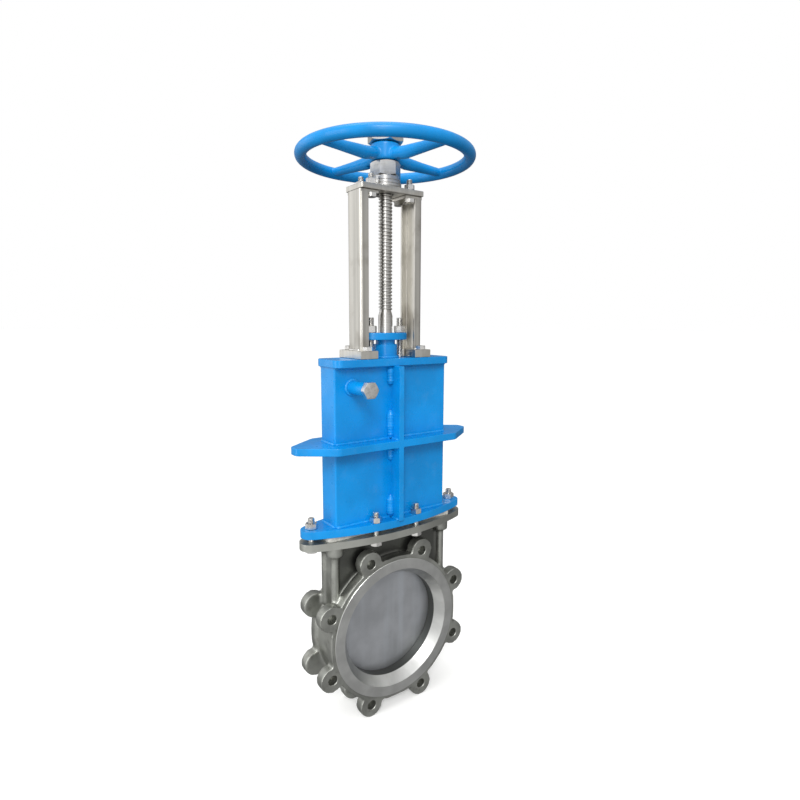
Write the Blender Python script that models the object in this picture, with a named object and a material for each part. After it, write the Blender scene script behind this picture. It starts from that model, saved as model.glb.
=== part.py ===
"""Lugged knife gate valve, size DN 200, with a rising stem and a handwheel.

The origin is the centre of the flow bore. +Z runs up the stem, the flow runs along Y, and the
face at -Y is the front. Dimensions below are in millimetres; meshes are written in metres.
The valve stands closed: the gate is down and the stem is at its lowest.
"""
import bmesh
import bpy
from math import atan2, cos, pi, radians, sin, sqrt, tau
from mathutils import Matrix

METRES = 0.001
GAP = 0.3                 # clearance left between faces that touch
FIT = 0.3                 # radial clearance of a fastener in its hole

# flow bore, faces and lugs
BORE_R, MOUTH_R, RAISED_R = 100.0, 112.0, 132.0
FACE_Y, LUG_Y, LUG_T = 42.5, 41.0, 18.0
DISC_R, SHELL_R = 139.0, 134.0
LUG_PCD_R, LUG_R, LUG_HOLE_R, LUGS = 147.5, 23.0, 8.8, 8
SEAT_R, SEAT_Y = 107.3, 12.0

# neck and bolted flange pair
NECK_X, NECK_Y, NECK_Z = 121.0, 17.0, 177.0
BODY_FLANGE_Z = (177.0, 190.0)
BONNET_FLANGE_Z = (198.0, 212.0)
FLANGE_HALF, FLANGE_END_X, FLANGE_END_R = 49.0, 153.0, 19.0
FLANGE_BOLTS = [(-153, 0), (153, 0), (-44, -36), (44, -36), (-44, 36), (44, 36)]
BOLT_R, HEX_AF = 6.0, 19.0

# gate and its travel
GATE_X, GATE_Y, GATE_TOP, GATE_ARC_Z = 108.0, 5.0, 232.0, 4.0
SLOT_PLAY, SLOT_Y = 1.2, 5.6
STROKE = 205.0

# bonnet box
BOX_X, BOX_Y, BOX_TOP, WALL = 118.5, 25.0, 489.0, 6.0
TOP_X, TOP_Y, TOP_Z, TOP_CORNER = 121.0, 38.0, 502.0, 14.0
RIB_T, RIB_Y = 10.0, 53.0
GIRTH_Z, GIRTH_TIP_X, GIRTH_TIP_Y = (345.0, 358.0), 184.0, 10.0
PURGE_X, PURGE_Z, PURGE_R, PURGE_Y, PURGE_AF = -84.0, 455.0, 11.5, 75.0, 26.0

# stuffing box and gland
BOX_R, PACK_R, BOX_RIM_Z = 21.0, 17.6, 526.0
GLAND_Z, GLAND_BOLT_X, GLAND_END_R = (533.5, 546.0), 31.0, 13.0
PACK_Z, PACK_T, PACK_RINGS = 496.0, 6.0, 3

# stem and stem nut
THREAD_R, PLAIN_R, PLAIN_TOP, STEM_TOP = 12.0, 12.75, 585.0, 897.0
NUT_R, NUT_FLANGE_R, NUT_TOP = 17.0, 21.0, 889.0

# yoke
FOOT_X, FOOT_Y, FOOT_Z = (39.0, 74.0), 37.5, (502.0, 516.0)
POST_X, POST_Y, POST_FLANGE, POST_T = 64.0, 22.0, 16.0, 4.0
FOOT_BOLT = (56.0, 30.7)
PLATE_X, PLATE_Y, PLATE_Z = 64.0, 27.0, (784.0, 793.0)
TAB_X, TAB_T, YOKE_BOLT = 28.0, 5.0, (39.5, 16.5)

# bearing housing on the yoke plate
HOUSE_R, HOUSE_BASE_R, HOUSE_TOP, HOUSE_BORE_R = 26.0, 25.0, 812.0, 22.5
RACE_T = 4.2
CAP_TOP, CAP_AF = 837.0, 46.0

# handwheel
WHEEL_R, RIM_R, WHEEL_Z = 144.6, 10.2, 845.0
HUB_R, HUB_Z = 26.0, (838.0, 867.0)
SPOKES, SPOKE_ANGLE = 4, 10.0
LOCK_AF, LOCK_TOP = 55.0, 884.0

COLOURS = {
    "blue_paint": ((0.02, 0.25, 0.72, 1), 0.0, 0.3),
    "cast_steel": ((0.36, 0.36, 0.34, 1), 1.0, 0.45),
    "bright_steel": ((0.62, 0.61, 0.59, 1), 1.0, 0.3),
    "bronze": ((0.55, 0.36, 0.14, 1), 1.0, 0.35),
    "packing": ((0.06, 0.06, 0.06, 1), 0.0, 0.8),
    "seal": ((0.75, 0.74, 0.7, 1), 0.0, 0.5),
}


def clear_scene():
    """Remove everything the start-up file holds."""
    for item in list(bpy.data.objects):
        bpy.data.objects.remove(item)


def material(name):
    """Return the named material, made on first use."""
    found = bpy.data.materials.get(name)
    if found:
        return found
    colour, metallic, roughness = COLOURS[name]
    made = bpy.data.materials.new(name)
    made.use_nodes = True
    shader = made.node_tree.nodes["Principled BSDF"]
    shader.inputs["Base Color"].default_value = colour
    shader.inputs["Metallic"].default_value = metallic
    shader.inputs["Roughness"].default_value = roughness
    return made


def to_mesh(bm):
    """Turn a bmesh into a closed, outward-facing mesh block."""
    bmesh.ops.remove_doubles(bm, verts=bm.verts, dist=1e-4)
    bmesh.ops.recalc_face_normals(bm, faces=bm.faces)
    mesh = bpy.data.meshes.new("solid")
    bm.to_mesh(mesh)
    bm.free()
    return mesh


SWAP_YZ = Matrix(((1, 0, 0, 0), (0, 0, 1, 0), (0, 1, 0, 0), (0, 0, 0, 1)))


def prism(outline, low, high, axis="Z"):
    """Extrude a closed (x, y) outline from low to high; about Y the outline is (x, z)."""
    bm = bmesh.new()
    base = [bm.verts.new((x, y, low)) for x, y in outline]
    top = [bm.verts.new((x, y, high)) for x, y in outline]
    bm.faces.new(base[::-1])
    bm.faces.new(top)
    count = len(outline)
    for i in range(count):
        j = (i + 1) % count
        bm.faces.new((base[i], base[j], top[j], top[i]))
    if axis == "Y":
        bm.transform(SWAP_YZ)
    return to_mesh(bm)


def lathe(profile, steps=24, axis="Z"):
    """Turn a closed (radius, height) profile through a full circle about Z or Y."""
    bm = bmesh.new()
    rings = []
    for radius, height in profile:
        if radius == 0:
            rings.append([bm.verts.new((0, 0, height))] * steps)
            continue
        angles = [tau * k / steps for k in range(steps)]
        rings.append([bm.verts.new((radius * cos(a), radius * sin(a), height)) for a in angles])
    for i, ring in enumerate(rings):
        following = rings[(i + 1) % len(rings)]
        if profile[i][0] == 0 and profile[(i + 1) % len(profile)][0] == 0:
            continue
        for k in range(steps):
            n = (k + 1) % steps
            corners = [ring[k], ring[n], following[n], following[k]]
            bm.faces.new(list(dict.fromkeys(corners)))
    if axis == "Y":
        bm.transform(SWAP_YZ)
    return to_mesh(bm)


def washer(inner, outer, low, high, steps=24):
    """A flat ring about Z."""
    return lathe([(inner, low), (outer, low), (outer, high), (inner, high)], steps)


def spun(mesh, degrees):
    """Turn a mesh block about Z and return it."""
    mesh.transform(Matrix.Rotation(radians(degrees), 4, "Z"))
    return mesh


def merged(meshes):
    """Gather separate mesh blocks, which do not touch each other, into one."""
    bm = bmesh.new()
    for mesh in meshes:
        bm.from_mesh(mesh)
    out = bpy.data.meshes.new("set")
    bm.to_mesh(out)
    bm.free()
    return out


def circle(radius, steps=32, x=0.0, y=0.0, start=0.0):
    """Outline of a circle."""
    angles = [radians(start) + tau * k / steps for k in range(steps)]
    return [(x + radius * cos(a), y + radius * sin(a)) for a in angles]


def hexagon(across_flats, x=0.0, y=0.0, start=0.0):
    """Outline of a hexagon given across its flats; at start 0 two corners lie along X."""
    return circle(across_flats / sqrt(3), 6, x, y, start)


def rectangle(half_x, half_y, corner=0.0, steps=5):
    """Outline of a centred rectangle with rounded corners."""
    if not corner:
        return [(-half_x, -half_y), (half_x, -half_y), (half_x, half_y), (-half_x, half_y)]
    out = []
    for quarter, (sx, sy) in enumerate(((1, 1), (-1, 1), (-1, -1), (1, -1))):
        for k in range(steps + 1):
            a = pi / 2 * (quarter + k / steps)
            out.append((sx * (half_x - corner) + corner * cos(a), sy * (half_y - corner) + corner * sin(a)))
    return out


def box(x0, x1, y0, y1, z0, z1):
    """A block between the given limits."""
    return prism([(x0, y0), (x1, y0), (x1, y1), (x0, y1)], z0, z1)


def cylinder(radius, low, high, x=0.0, y=0.0, steps=12, axis="Z"):
    """A round bar along Z, or along Y, where y stands for the height."""
    return prism(circle(radius, steps, x, y), low, high, axis)


def lens(half_width, end_x, end_r, steps=12):
    """Outline wide in the middle, with arcs that run tangent into two round ends."""
    arc_r = (end_x ** 2 + half_width ** 2 - end_r ** 2) / (2 * (half_width - end_r))
    reach = atan2(end_x, arc_r - half_width)
    out = []
    for side in (1, -1):
        for k in range(steps + 1):
            a = reach - 2 * reach * k / steps
            out.append((side * arc_r * sin(a), side * (half_width - arc_r + arc_r * cos(a))))
        for k in range(1, 6):
            a = pi / 2 + reach + (pi - 2 * reach) * k / 6
            out.append((side * (end_x * -1 + end_r * cos(a)), side * end_r * sin(a)))
    return out


def boolean(target, tool, operation):
    """Return target joined with, or cut by, tool."""
    holder = bpy.data.objects.new("target", target)
    cutter = bpy.data.objects.new("tool", tool)
    for item in (holder, cutter):
        bpy.context.collection.objects.link(item)
    modifier = holder.modifiers.new("step", "BOOLEAN")
    modifier.operation = operation
    modifier.solver = "EXACT"
    modifier.object = cutter
    graph = bpy.context.evaluated_depsgraph_get()
    result = bpy.data.meshes.new_from_object(holder.evaluated_get(graph))
    for item in (holder, cutter):
        bpy.data.objects.remove(item)
    return result


def joined(first, *rest):
    """Fuse overlapping solids."""
    for mesh in rest:
        first = boolean(first, mesh, "UNION")
    return first


def cut(first, *rest):
    """Take solids away from the first."""
    for mesh in rest:
        first = boolean(first, mesh, "DIFFERENCE")
    return first


def place(name, mesh, slot):
    """Add a finished sub-part to the scene, in metres."""
    bm = bmesh.new()
    bm.from_mesh(mesh)
    bmesh.ops.dissolve_degenerate(bm, dist=1e-4, edges=bm.edges)
    bm.transform(Matrix.Scale(METRES, 4))
    out = bpy.data.meshes.new(name)
    bm.to_mesh(out)
    bm.free()
    out.shade_smooth()
    out.set_sharp_from_angle(angle=radians(30))
    out.materials.clear()
    out.materials.append(material(slot))
    item = bpy.data.objects.new(name, out)
    bpy.context.collection.objects.link(item)
    return item


def lug_centres():
    """Centres of the eight lugs as (x, z)."""
    angles = [radians(22.5) + tau * k / LUGS for k in range(LUGS)]
    return [(LUG_PCD_R * cos(a), LUG_PCD_R * sin(a)) for a in angles]


def gate_outline(play=0.0, top=GATE_TOP):
    """Straight-sided plate with a round lower end, as (x, z)."""
    radius = GATE_X + play
    arc = [(-radius * cos(pi * k / 32), GATE_ARC_Z - radius * sin(pi * k / 32)) for k in range(33)]
    return arc + [(radius, top), (-radius, top)]


def build_body():
    """Cast body: two lugged rings, the neck that holds the gate, and its top flange."""
    profile = [(0, -FACE_Y), (RAISED_R, -FACE_Y), (RAISED_R, -LUG_Y), (DISC_R, -LUG_Y),
               (DISC_R, -LUG_Y + LUG_T), (SHELL_R, 3 - LUG_Y + LUG_T), (SHELL_R, LUG_Y - LUG_T - 3),
               (DISC_R, LUG_Y - LUG_T), (DISC_R, LUG_Y), (RAISED_R, LUG_Y), (RAISED_R, FACE_Y), (0, FACE_Y)]
    body = lathe(profile, 48, "Y")
    neck = box(-NECK_X, NECK_X, -NECK_Y, NECK_Y, 20, NECK_Z + 4)
    flange = prism(lens(FLANGE_HALF, FLANGE_END_X, FLANGE_END_R + 2), *BODY_FLANGE_Z)
    corners = [(sx * (NECK_X - 3), sy * (NECK_Y + 1)) for sx in (-1, 1) for sy in (-1, 1)]
    ribs = merged([cylinder(6, 60, NECK_Z + 2, x, y) for x, y in corners])
    bosses = merged([cylinder(14, NECK_Z - 15, NECK_Z + 3, x, y, 16) for x, y in corners])
    lugs = merged([cylinder(LUG_R, side * (LUG_Y - LUG_T - 2), side * LUG_Y, x, z, 16, "Y")
                   for x, z in lug_centres() for side in (-1, 1)])
    body = joined(body, neck, flange, ribs, bosses, lugs)
    ports = lathe([(0, -FACE_Y - 1), (MOUTH_R, -FACE_Y - 1), (MOUTH_R, -FACE_Y), (BORE_R, -30), (BORE_R, 4),
                   (SEAT_R, 4), (SEAT_R, SEAT_Y), (BORE_R, SEAT_Y), (BORE_R, 30), (MOUTH_R, FACE_Y),
                   (MOUTH_R, FACE_Y + 1), (0, FACE_Y + 1)], 48, "Y")
    slot = prism(gate_outline(SLOT_PLAY, 200), -SLOT_Y, SLOT_Y, "Y")
    taps = merged([cylinder(LUG_HOLE_R, side * (LUG_Y - LUG_T + 1), side * (LUG_Y + 5), x, z, 12, "Y")
                   for x, z in lug_centres() for side in (-1, 1)])
    holes = merged([cylinder(BOLT_R + FIT, 170, 195, x, y) for x, y in FLANGE_BOLTS])
    place("valve_body", cut(body, ports, slot, taps, holes), "cast_steel")


def build_seals():
    """Seat ring behind the gate and the gasket between the two flanges."""
    seat = [(BORE_R, SLOT_Y), (SEAT_R - FIT, SLOT_Y), (SEAT_R - FIT, SEAT_Y - GAP), (BORE_R, SEAT_Y - GAP)]
    place("seat_ring", lathe(seat, 48, "Y"), "seal")
    low, high = BODY_FLANGE_Z[1] + GAP, BONNET_FLANGE_Z[0] - GAP
    gasket = cut(prism(rectangle(134, 28, 8), low, high), prism(rectangle(111, 9, 3), low - 1, high + 1))
    place("body_gasket", gasket, "seal")


def girth_outline():
    """Horizontal stiffening plate with an ear at each end."""
    quarter = [(BOX_X + 6, RIB_Y), (GIRTH_TIP_X, GIRTH_TIP_Y)]
    right = [(x, -y) for x, y in quarter] + quarter[::-1]
    return right + [(-x, -y) for x, y in right]


def build_bonnet():
    """Welded bonnet: box, flanges, ribs, girth plate, stuffing box and purge stub."""
    shell = box(-BOX_X, BOX_X, -BOX_Y, BOX_Y, BONNET_FLANGE_Z[0] + 3, BOX_TOP + 4)
    lower = prism(lens(FLANGE_HALF, FLANGE_END_X, FLANGE_END_R), *BONNET_FLANGE_Z)
    upper = prism(rectangle(TOP_X, TOP_Y, TOP_CORNER), BOX_TOP, TOP_Z)
    ribs = box(-RIB_T / 2, RIB_T / 2, -RIB_Y, RIB_Y, BONNET_FLANGE_Z[1] - 2, BOX_TOP + 2)
    above = [sorted((side * (TOP_Y - 1), side * (RIB_Y + 5))) for side in (-1, 1)]
    ribs = cut(ribs, merged([box(-9, 9, *span, BOX_TOP - 1, BOX_TOP + 9) for span in above]))
    girth = prism(girth_outline(), *GIRTH_Z)
    stub = cylinder(PURGE_R, -PURGE_Y, -BOX_Y + 3, PURGE_X, PURGE_Z, 20, "Y")
    stuffing = cylinder(BOX_R, TOP_Z - 4, BOX_RIM_Z, steps=24)
    bonnet = joined(shell, lower, upper, ribs, girth, stub, stuffing)
    inside = box(-BOX_X + WALL, BOX_X - WALL, -BOX_Y + WALL, BOX_Y - WALL, 190, BOX_TOP)
    bore = lathe([(0, 480), (PLAIN_R + .75, 480), (PLAIN_R + .75, PACK_Z), (PACK_R, PACK_Z),
                  (PACK_R, 530), (0, 530)], 24)
    flush = cylinder(7, -PURGE_Y - 5, -BOX_Y + WALL + 3, PURGE_X, PURGE_Z, 16, "Y")
    holes = merged([cylinder(BOLT_R + FIT, 190, 220, x, y) for x, y in FLANGE_BOLTS])
    taps = [(sx * FOOT_BOLT[0], sy * FOOT_BOLT[1], BOLT_R - 1) for sx in (-1, 1) for sy in (-1, 1)]
    taps += [(-GLAND_BOLT_X, 0, BOLT_R), (GLAND_BOLT_X, 0, BOLT_R)]
    taps = merged([cylinder(radius + FIT, TOP_Z - 10, TOP_Z + 4, x, y) for x, y, radius in taps])
    place("bonnet", cut(bonnet, inside, bore, flush, holes, taps), "blue_paint")
    plug = joined(prism(hexagon(PURGE_AF, PURGE_X, PURGE_Z, 30), -PURGE_Y - 12, -PURGE_Y - GAP, "Y"),
                  cylinder(6.7, -PURGE_Y - 4, -PURGE_Y + 14, PURGE_X, PURGE_Z, 16, "Y"))
    place("purge_plug", plug, "bright_steel")


def screw(x, y, face, end, head=7.5, across=HEX_AF, radius=BOLT_R, down=False):
    """Hex screw whose head sits on (or, if down, under) the height face."""
    sign = -1 if down else 1
    low, high = sorted((face + sign * GAP, face + sign * head))
    shank = sorted((face + sign * head / 2, end))
    return joined(prism(hexagon(across, x, y), low, high), cylinder(radius, *shank, x, y))


def hex_nut(x, y, low, height=10.0, across=HEX_AF, hole=BOLT_R + FIT):
    """Plain hex nut with an open bore."""
    bore = cylinder(hole, low - 1, low + height + 1, x, y, 24 if hole > NUT_R else 12)
    return cut(prism(hexagon(across, x, y), low, low + height), bore)


def build_flange_bolts():
    """Six bolts, with nuts, through the flange pair."""
    for number, (x, y) in enumerate(FLANGE_BOLTS, 1):
        bolt = screw(x, y, BODY_FLANGE_Z[0], 231, down=True)
        place(f"flange_bolt_{number}", bolt, "bright_steel")
        place(f"flange_nut_{number}", hex_nut(x, y, BONNET_FLANGE_Z[1] + GAP), "bright_steel")


def build_gland():
    """Packing rings, gland follower, studs and nuts around the stem."""
    for k in range(PACK_RINGS):
        low = PACK_Z + GAP + k * (PACK_T + GAP)
        place(f"packing_ring_{k + 1}", washer(PLAIN_R + FIT, PACK_R - FIT, low, low + PACK_T), "packing")
    top_ring = PACK_Z + PACK_RINGS * (PACK_T + GAP) + GAP
    flange = prism(lens(24, GLAND_BOLT_X, GLAND_END_R, 10), *GLAND_Z)
    gland = joined(flange, cylinder(PACK_R - FIT, top_ring, GLAND_Z[0] + 3, steps=24))
    holes = merged([cylinder(BOLT_R + FIT, 500, 560, sx * GLAND_BOLT_X, 0) for sx in (-1, 1)])
    place("gland", cut(gland, cylinder(PLAIN_R + FIT, 500, 560, steps=24), holes), "blue_paint")
    for side, sx in (("left", -1), ("right", 1)):
        x = sx * GLAND_BOLT_X
        place(f"gland_stud_{side}", cylinder(BOLT_R, TOP_Z - 9.5, 573, x, 0), "bright_steel")
        place(f"gland_nut_{side}", hex_nut(x, 0, GLAND_Z[1] + GAP, 12), "bright_steel")


def build_posts():
    """Two channel-section yoke posts with their foot plates, and the foot screws."""
    for side, sx in (("left", -1), ("right", 1)):
        foot = box(*sorted((sx * FOOT_X[0], sx * FOOT_X[1])), -FOOT_Y, FOOT_Y, FOOT_Z[0] + GAP, FOOT_Z[1])
        top, inner_y = PLATE_Z[0] - GAP, POST_Y - POST_T
        outer = box(*sorted((sx * (POST_X - POST_FLANGE), sx * POST_X)), -POST_Y, POST_Y, FOOT_Z[1] - 2, top)
        inner = box(*sorted((sx * 20, sx * (POST_X - POST_T))), -inner_y, inner_y, FOOT_Z[1], 800)
        tab = box(*sorted((sx * TAB_X, sx * (POST_X - 1))), -POST_Y, POST_Y, PLATE_Z[0] - TAB_T, top)
        post = joined(foot, cut(outer, inner), tab)
        holes = [cylinder(BOLT_R - 1 + FIT, 495, 520, sx * FOOT_BOLT[0], sy * FOOT_BOLT[1]) for sy in (-1, 1)]
        for sy in (-1, 1):
            holes.append(cylinder(BOLT_R - 1 + FIT, 770, 800, sx * YOKE_BOLT[0], sy * YOKE_BOLT[1]))
        place(f"yoke_post_{side}", cut(post, merged(holes)), "bright_steel")
        for end, sy in (("front", -1), ("rear", 1)):
            x, y = sx * FOOT_BOLT[0], sy * FOOT_BOLT[1]
            foot_screw = screw(x, y, FOOT_Z[1], TOP_Z - 9.5, 7, 16, BOLT_R - 1)
            place(f"foot_screw_{side}_{end}", foot_screw, "bright_steel")


def build_yoke_top():
    """Yoke plate, its bolts, and the bearing housing with the bearings and cap."""
    holes = [cylinder(BOLT_R - 1 + FIT, 770, 800, sx * YOKE_BOLT[0], sy * YOKE_BOLT[1])
             for sx in (-1, 1) for sy in (-1, 1)]
    holes.append(cylinder(PLAIN_R + 1.5, 770, 800, steps=24))
    plate = prism(rectangle(PLATE_X, PLATE_Y, 3, 2), *PLATE_Z)
    place("yoke_plate", cut(plate, merged(holes)), "bright_steel")
    for side, sx in (("left", -1), ("right", 1)):
        for end, sy in (("front", -1), ("rear", 1)):
            x, y = sx * YOKE_BOLT[0], sy * YOKE_BOLT[1]
            bolt = joined(prism(hexagon(16, x, y, 30), PLATE_Z[0] - TAB_T - 7, PLATE_Z[0] - TAB_T - GAP),
                          cylinder(BOLT_R - 1, PLATE_Z[0] - TAB_T - 4, 811, x, y))
            place(f"yoke_bolt_{side}_{end}", bolt, "bright_steel")
            nut = hex_nut(x, y, PLATE_Z[1] + GAP, 9, 16, BOLT_R - 1 + FIT)
            place(f"yoke_nut_{side}_{end}", nut, "bright_steel")
    base, floor, base_r, bore_r = PLATE_Z[1] + GAP, PLATE_Z[1] + 2, HOUSE_BASE_R, PLAIN_R + .75
    house = [(bore_r, base), (base_r, base), (base_r, base + 1), (HOUSE_R, base + 1),
             (HOUSE_R, HOUSE_TOP), (HOUSE_BORE_R, HOUSE_TOP), (HOUSE_BORE_R, floor), (bore_r, floor)]
    place("bearing_housing", lathe(house, 24), "bright_steel")
    for name, low in (("thrust_bearing_lower", floor + GAP), ("thrust_bearing_upper", floor + 9.3)):
        place(name, washer(NUT_R + FIT, HOUSE_BORE_R - FIT, low, low + RACE_T), "bright_steel")
    low = floor + 13.8
    cap = joined(prism(hexagon(CAP_AF), HOUSE_TOP + GAP, CAP_TOP),
                 cylinder(HOUSE_BORE_R - FIT, low, HOUSE_TOP + 5, steps=24))
    place("bearing_cap", cut(cap, cylinder(NUT_R + FIT, low - 2, CAP_TOP + 2, steps=24)), "bright_steel")


def build_drive():
    """What turns together: stem nut, handwheel, its key and its lock nut."""
    low = PLATE_Z[1] + 2 + GAP
    sleeve = [(THREAD_R + FIT, low), (NUT_R, low), (NUT_R, low + 4.5), (NUT_FLANGE_R, low + 4.5),
              (NUT_FLANGE_R, low + 8.7), (NUT_R, low + 8.7), (NUT_R, NUT_TOP), (THREAD_R + FIT, NUT_TOP)]
    keyway = box(14.5, 22, -2.6, 2.6, HUB_Z[0] - 1, HUB_Z[1] + 40)
    place("stem_nut", cut(lathe(sleeve, 24), keyway), "bronze")
    key = box(14.7, 20.2, -2.4, 2.4, HUB_Z[0] + 2, HUB_Z[1] - GAP)
    place("handwheel_key", key, "bright_steel")
    rim = lathe(circle(RIM_R, 12, WHEEL_R, WHEEL_Z), 48)
    low, high = HUB_Z
    hub = lathe([(0, low), (HUB_R - 2, low), (HUB_R, low + 3), (HUB_R - 1, high - 2), (HUB_R - 3, high),
                 (0, high)], 32)
    spokes = [spun(spoke(), SPOKE_ANGLE + 360 * k / SPOKES) for k in range(SPOKES)]
    wheel = joined(rim, hub, *spokes)
    wheel = cut(wheel, cylinder(NUT_R + FIT, low - 2, high + 2, steps=24),
                box(10, 20.5, -2.6, 2.6, low - 2, high + 2))
    place("handwheel", wheel, "blue_paint")
    lock_nut = hex_nut(0, 0, high + GAP, LOCK_TOP - high, LOCK_AF, NUT_R + FIT)
    place("handwheel_lock_nut", lock_nut, "bright_steel")


def spoke():
    """One tapered spoke with rounded edges, lying along +X."""
    bm = bmesh.new()
    rings = []
    for x, half_y, half_z, rise in ((20, 12, 9.5, 4), (48, 10, 11, 0), (140, 8.5, 7.5, 1)):
        outline = [(half_y * (1 if abs(c) > .5 else .55) * (1 if c > 0 else -1),
                    half_z * (1 if abs(s) > .5 else .55) * (1 if s > 0 else -1))
                   for c, s in [(cos(a), sin(a)) for a in [pi / 8 + pi / 4 * k for k in range(8)]]]
        rings.append([bm.verts.new((x, y, WHEEL_Z + rise + z)) for y, z in outline])
    for near, far in zip(rings, rings[1:]):
        for k in range(8):
            bm.faces.new((near[k], near[(k + 1) % 8], far[(k + 1) % 8], far[k]))
    bm.faces.new(rings[0])
    bm.faces.new(rings[-1])
    return to_mesh(bm)


def build_gate():
    """What rises together: gate, clevis, pins and stem."""
    clevis_z = (200.0, 262.0)
    pins = (209.0, 224.0)
    gate = prism(gate_outline(), -GATE_Y, GATE_Y, "Y")
    place("gate", cut(gate, cross_holes(pins)), "cast_steel")
    clevis = prism(rectangle(20, 15, 3, 2), *clevis_z)
    socket = cylinder(PLAIN_R - 2.5, 244, 270, steps=24)
    fork_slot = box(-30, 30, -GATE_Y - GAP, GATE_Y + GAP, 190, GATE_TOP + GAP)
    clevis = cut(clevis, fork_slot, cross_holes(pins), socket)
    place("gate_clevis", clevis, "bright_steel")
    for number, z in enumerate(pins, 1):
        place(f"clevis_pin_{number}", cylinder(6, -14.8, 14.8, 0, z, 12, "Y"), "bright_steel")
    stem = [(0, 245), (PLAIN_R - 2.8, 245), (PLAIN_R - 2.8, clevis_z[1] + GAP), (PLAIN_R, clevis_z[1] + GAP),
            (PLAIN_R, PLAIN_TOP), (THREAD_R, PLAIN_TOP + 3), (THREAD_R, STEM_TOP - 2),
            (THREAD_R - 2, STEM_TOP), (0, STEM_TOP)]
    place("stem", lathe(stem, 24), "bright_steel")


def cross_holes(heights):
    """Cutters for the holes that the clevis pins pass through."""
    return merged([cylinder(BOLT_R + FIT, -20, 20, 0, z, 12, "Y") for z in heights])


def build_guides():
    """Two strips that guide the edges of the gate inside the bonnet."""
    for side, sx in (("left", -1), ("right", 1)):
        x0, x1 = sorted((sx * (GATE_X + .4), sx * (BOX_X - WALL - GAP)))
        place(f"gate_guide_{side}", box(x0, x1, -9, 9, BONNET_FLANGE_Z[1] - 6, BOX_TOP - 9), "seal")


def main():
    """Build the whole valve."""
    clear_scene()
    build_body()
    build_seals()
    build_bonnet()
    build_flange_bolts()
    build_gland()
    build_posts()
    build_yoke_top()
    build_drive()
    build_gate()
    build_guides()


main()
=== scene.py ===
"""Looks of a lugged knife gate valve with a rising stem and a handwheel.

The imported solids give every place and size. Sizes in this script are in millimetres until a piece is
finished, when its mesh is written in metres. +Z runs up the stem, the flow runs along Y, and the face
at -Y is the front.
"""

import logging
from dataclasses import dataclass, field
from enum import Enum
from math import atan2, cos, degrees, pi, radians, sin, sqrt, tau
from typing import Callable, Iterable, Sequence

import bmesh
import bpy
from mathutils import Matrix, Vector, noise


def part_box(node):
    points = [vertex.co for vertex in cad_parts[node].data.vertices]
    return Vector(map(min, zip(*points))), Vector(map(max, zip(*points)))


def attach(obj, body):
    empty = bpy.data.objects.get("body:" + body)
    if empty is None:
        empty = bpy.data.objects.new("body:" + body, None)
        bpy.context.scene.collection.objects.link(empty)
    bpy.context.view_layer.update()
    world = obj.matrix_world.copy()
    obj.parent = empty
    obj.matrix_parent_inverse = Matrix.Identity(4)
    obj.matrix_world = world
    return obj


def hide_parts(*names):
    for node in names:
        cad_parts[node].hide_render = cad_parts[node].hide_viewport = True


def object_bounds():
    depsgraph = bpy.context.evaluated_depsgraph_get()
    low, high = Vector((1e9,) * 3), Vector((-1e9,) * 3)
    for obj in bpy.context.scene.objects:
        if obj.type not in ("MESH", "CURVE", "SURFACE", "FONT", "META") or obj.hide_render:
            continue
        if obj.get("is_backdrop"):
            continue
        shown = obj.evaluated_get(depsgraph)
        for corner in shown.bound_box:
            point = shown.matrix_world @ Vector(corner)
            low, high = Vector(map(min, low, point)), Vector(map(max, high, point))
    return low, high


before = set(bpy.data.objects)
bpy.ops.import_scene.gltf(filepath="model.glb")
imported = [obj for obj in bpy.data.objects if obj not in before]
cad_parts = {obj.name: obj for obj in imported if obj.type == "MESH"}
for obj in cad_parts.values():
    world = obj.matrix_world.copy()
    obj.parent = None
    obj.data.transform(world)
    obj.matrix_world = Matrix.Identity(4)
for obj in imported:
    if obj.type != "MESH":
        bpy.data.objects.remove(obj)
LOG = logging.getLogger("knife_gate_valve")
MM = 0.001
GAP = 0.3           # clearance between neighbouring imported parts, in millimetres
SIDES = (-1, 1)
HANDS = (("left", -1), ("right", 1))
ENDS = ("front", "rear")
Colour = tuple[float, float, float]
Point = tuple[float, float]
Value = "float | int | Sequence[float] | Wire"


class Body(Enum):
    """The rigid bodies of the valve."""

    FRAME = "frame"
    DRIVE = "drive"
    GATE_SET = "gate_set"


class Axis(Enum):
    """Directions that a shape is turned or extruded along."""

    Y = "Y"
    Z = "Z"


# ---------------------------------------------------------------- shader sums


class Wire:
    """An output socket that can be used in Python sums."""

    def __init__(self, recipe: "Recipe", socket: bpy.types.NodeSocket) -> None:
        """Keep the socket and the recipe that it belongs to."""
        self.recipe = recipe
        self.socket = socket

    def math(self, operation: str, *values: Value) -> "Wire":
        """Add a Math node.

        Args:
            operation: name of the Math node's operation.
            values: its inputs, in order.

        Returns:
            The result.
        """
        return self.recipe.node("ShaderNodeMath", {"operation": operation}, dict(enumerate(values)))

    def __add__(self, other: Value) -> "Wire":
        """Sum."""
        return self.math("ADD", self, other)

    def __rsub__(self, other: Value) -> "Wire":
        """Difference with this value on the right."""
        return self.math("SUBTRACT", other, self)

    def __mul__(self, other: Value) -> "Wire":
        """Product."""
        return self.math("MULTIPLY", self, other)

    def __pow__(self, other: Value) -> "Wire":
        """Power."""
        return self.math("POWER", self, other)

    def __abs__(self) -> "Wire":
        """Distance from zero."""
        return self.math("ABSOLUTE", self)

    __radd__ = __add__
    __rmul__ = __mul__

    def step(self, low: float, high: float) -> "Wire":
        """Rise smoothly from 0 at low to 1 at high (or fall, if low is the larger)."""
        flip = low > high
        limits = {"From Min": min(low, high), "From Max": max(low, high),
                  "To Min": float(flip), "To Max": float(not flip)}
        return self.recipe.node("ShaderNodeMapRange", {"interpolation_type": "SMOOTHSTEP"},
                                {"Value": self, **limits})


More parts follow.
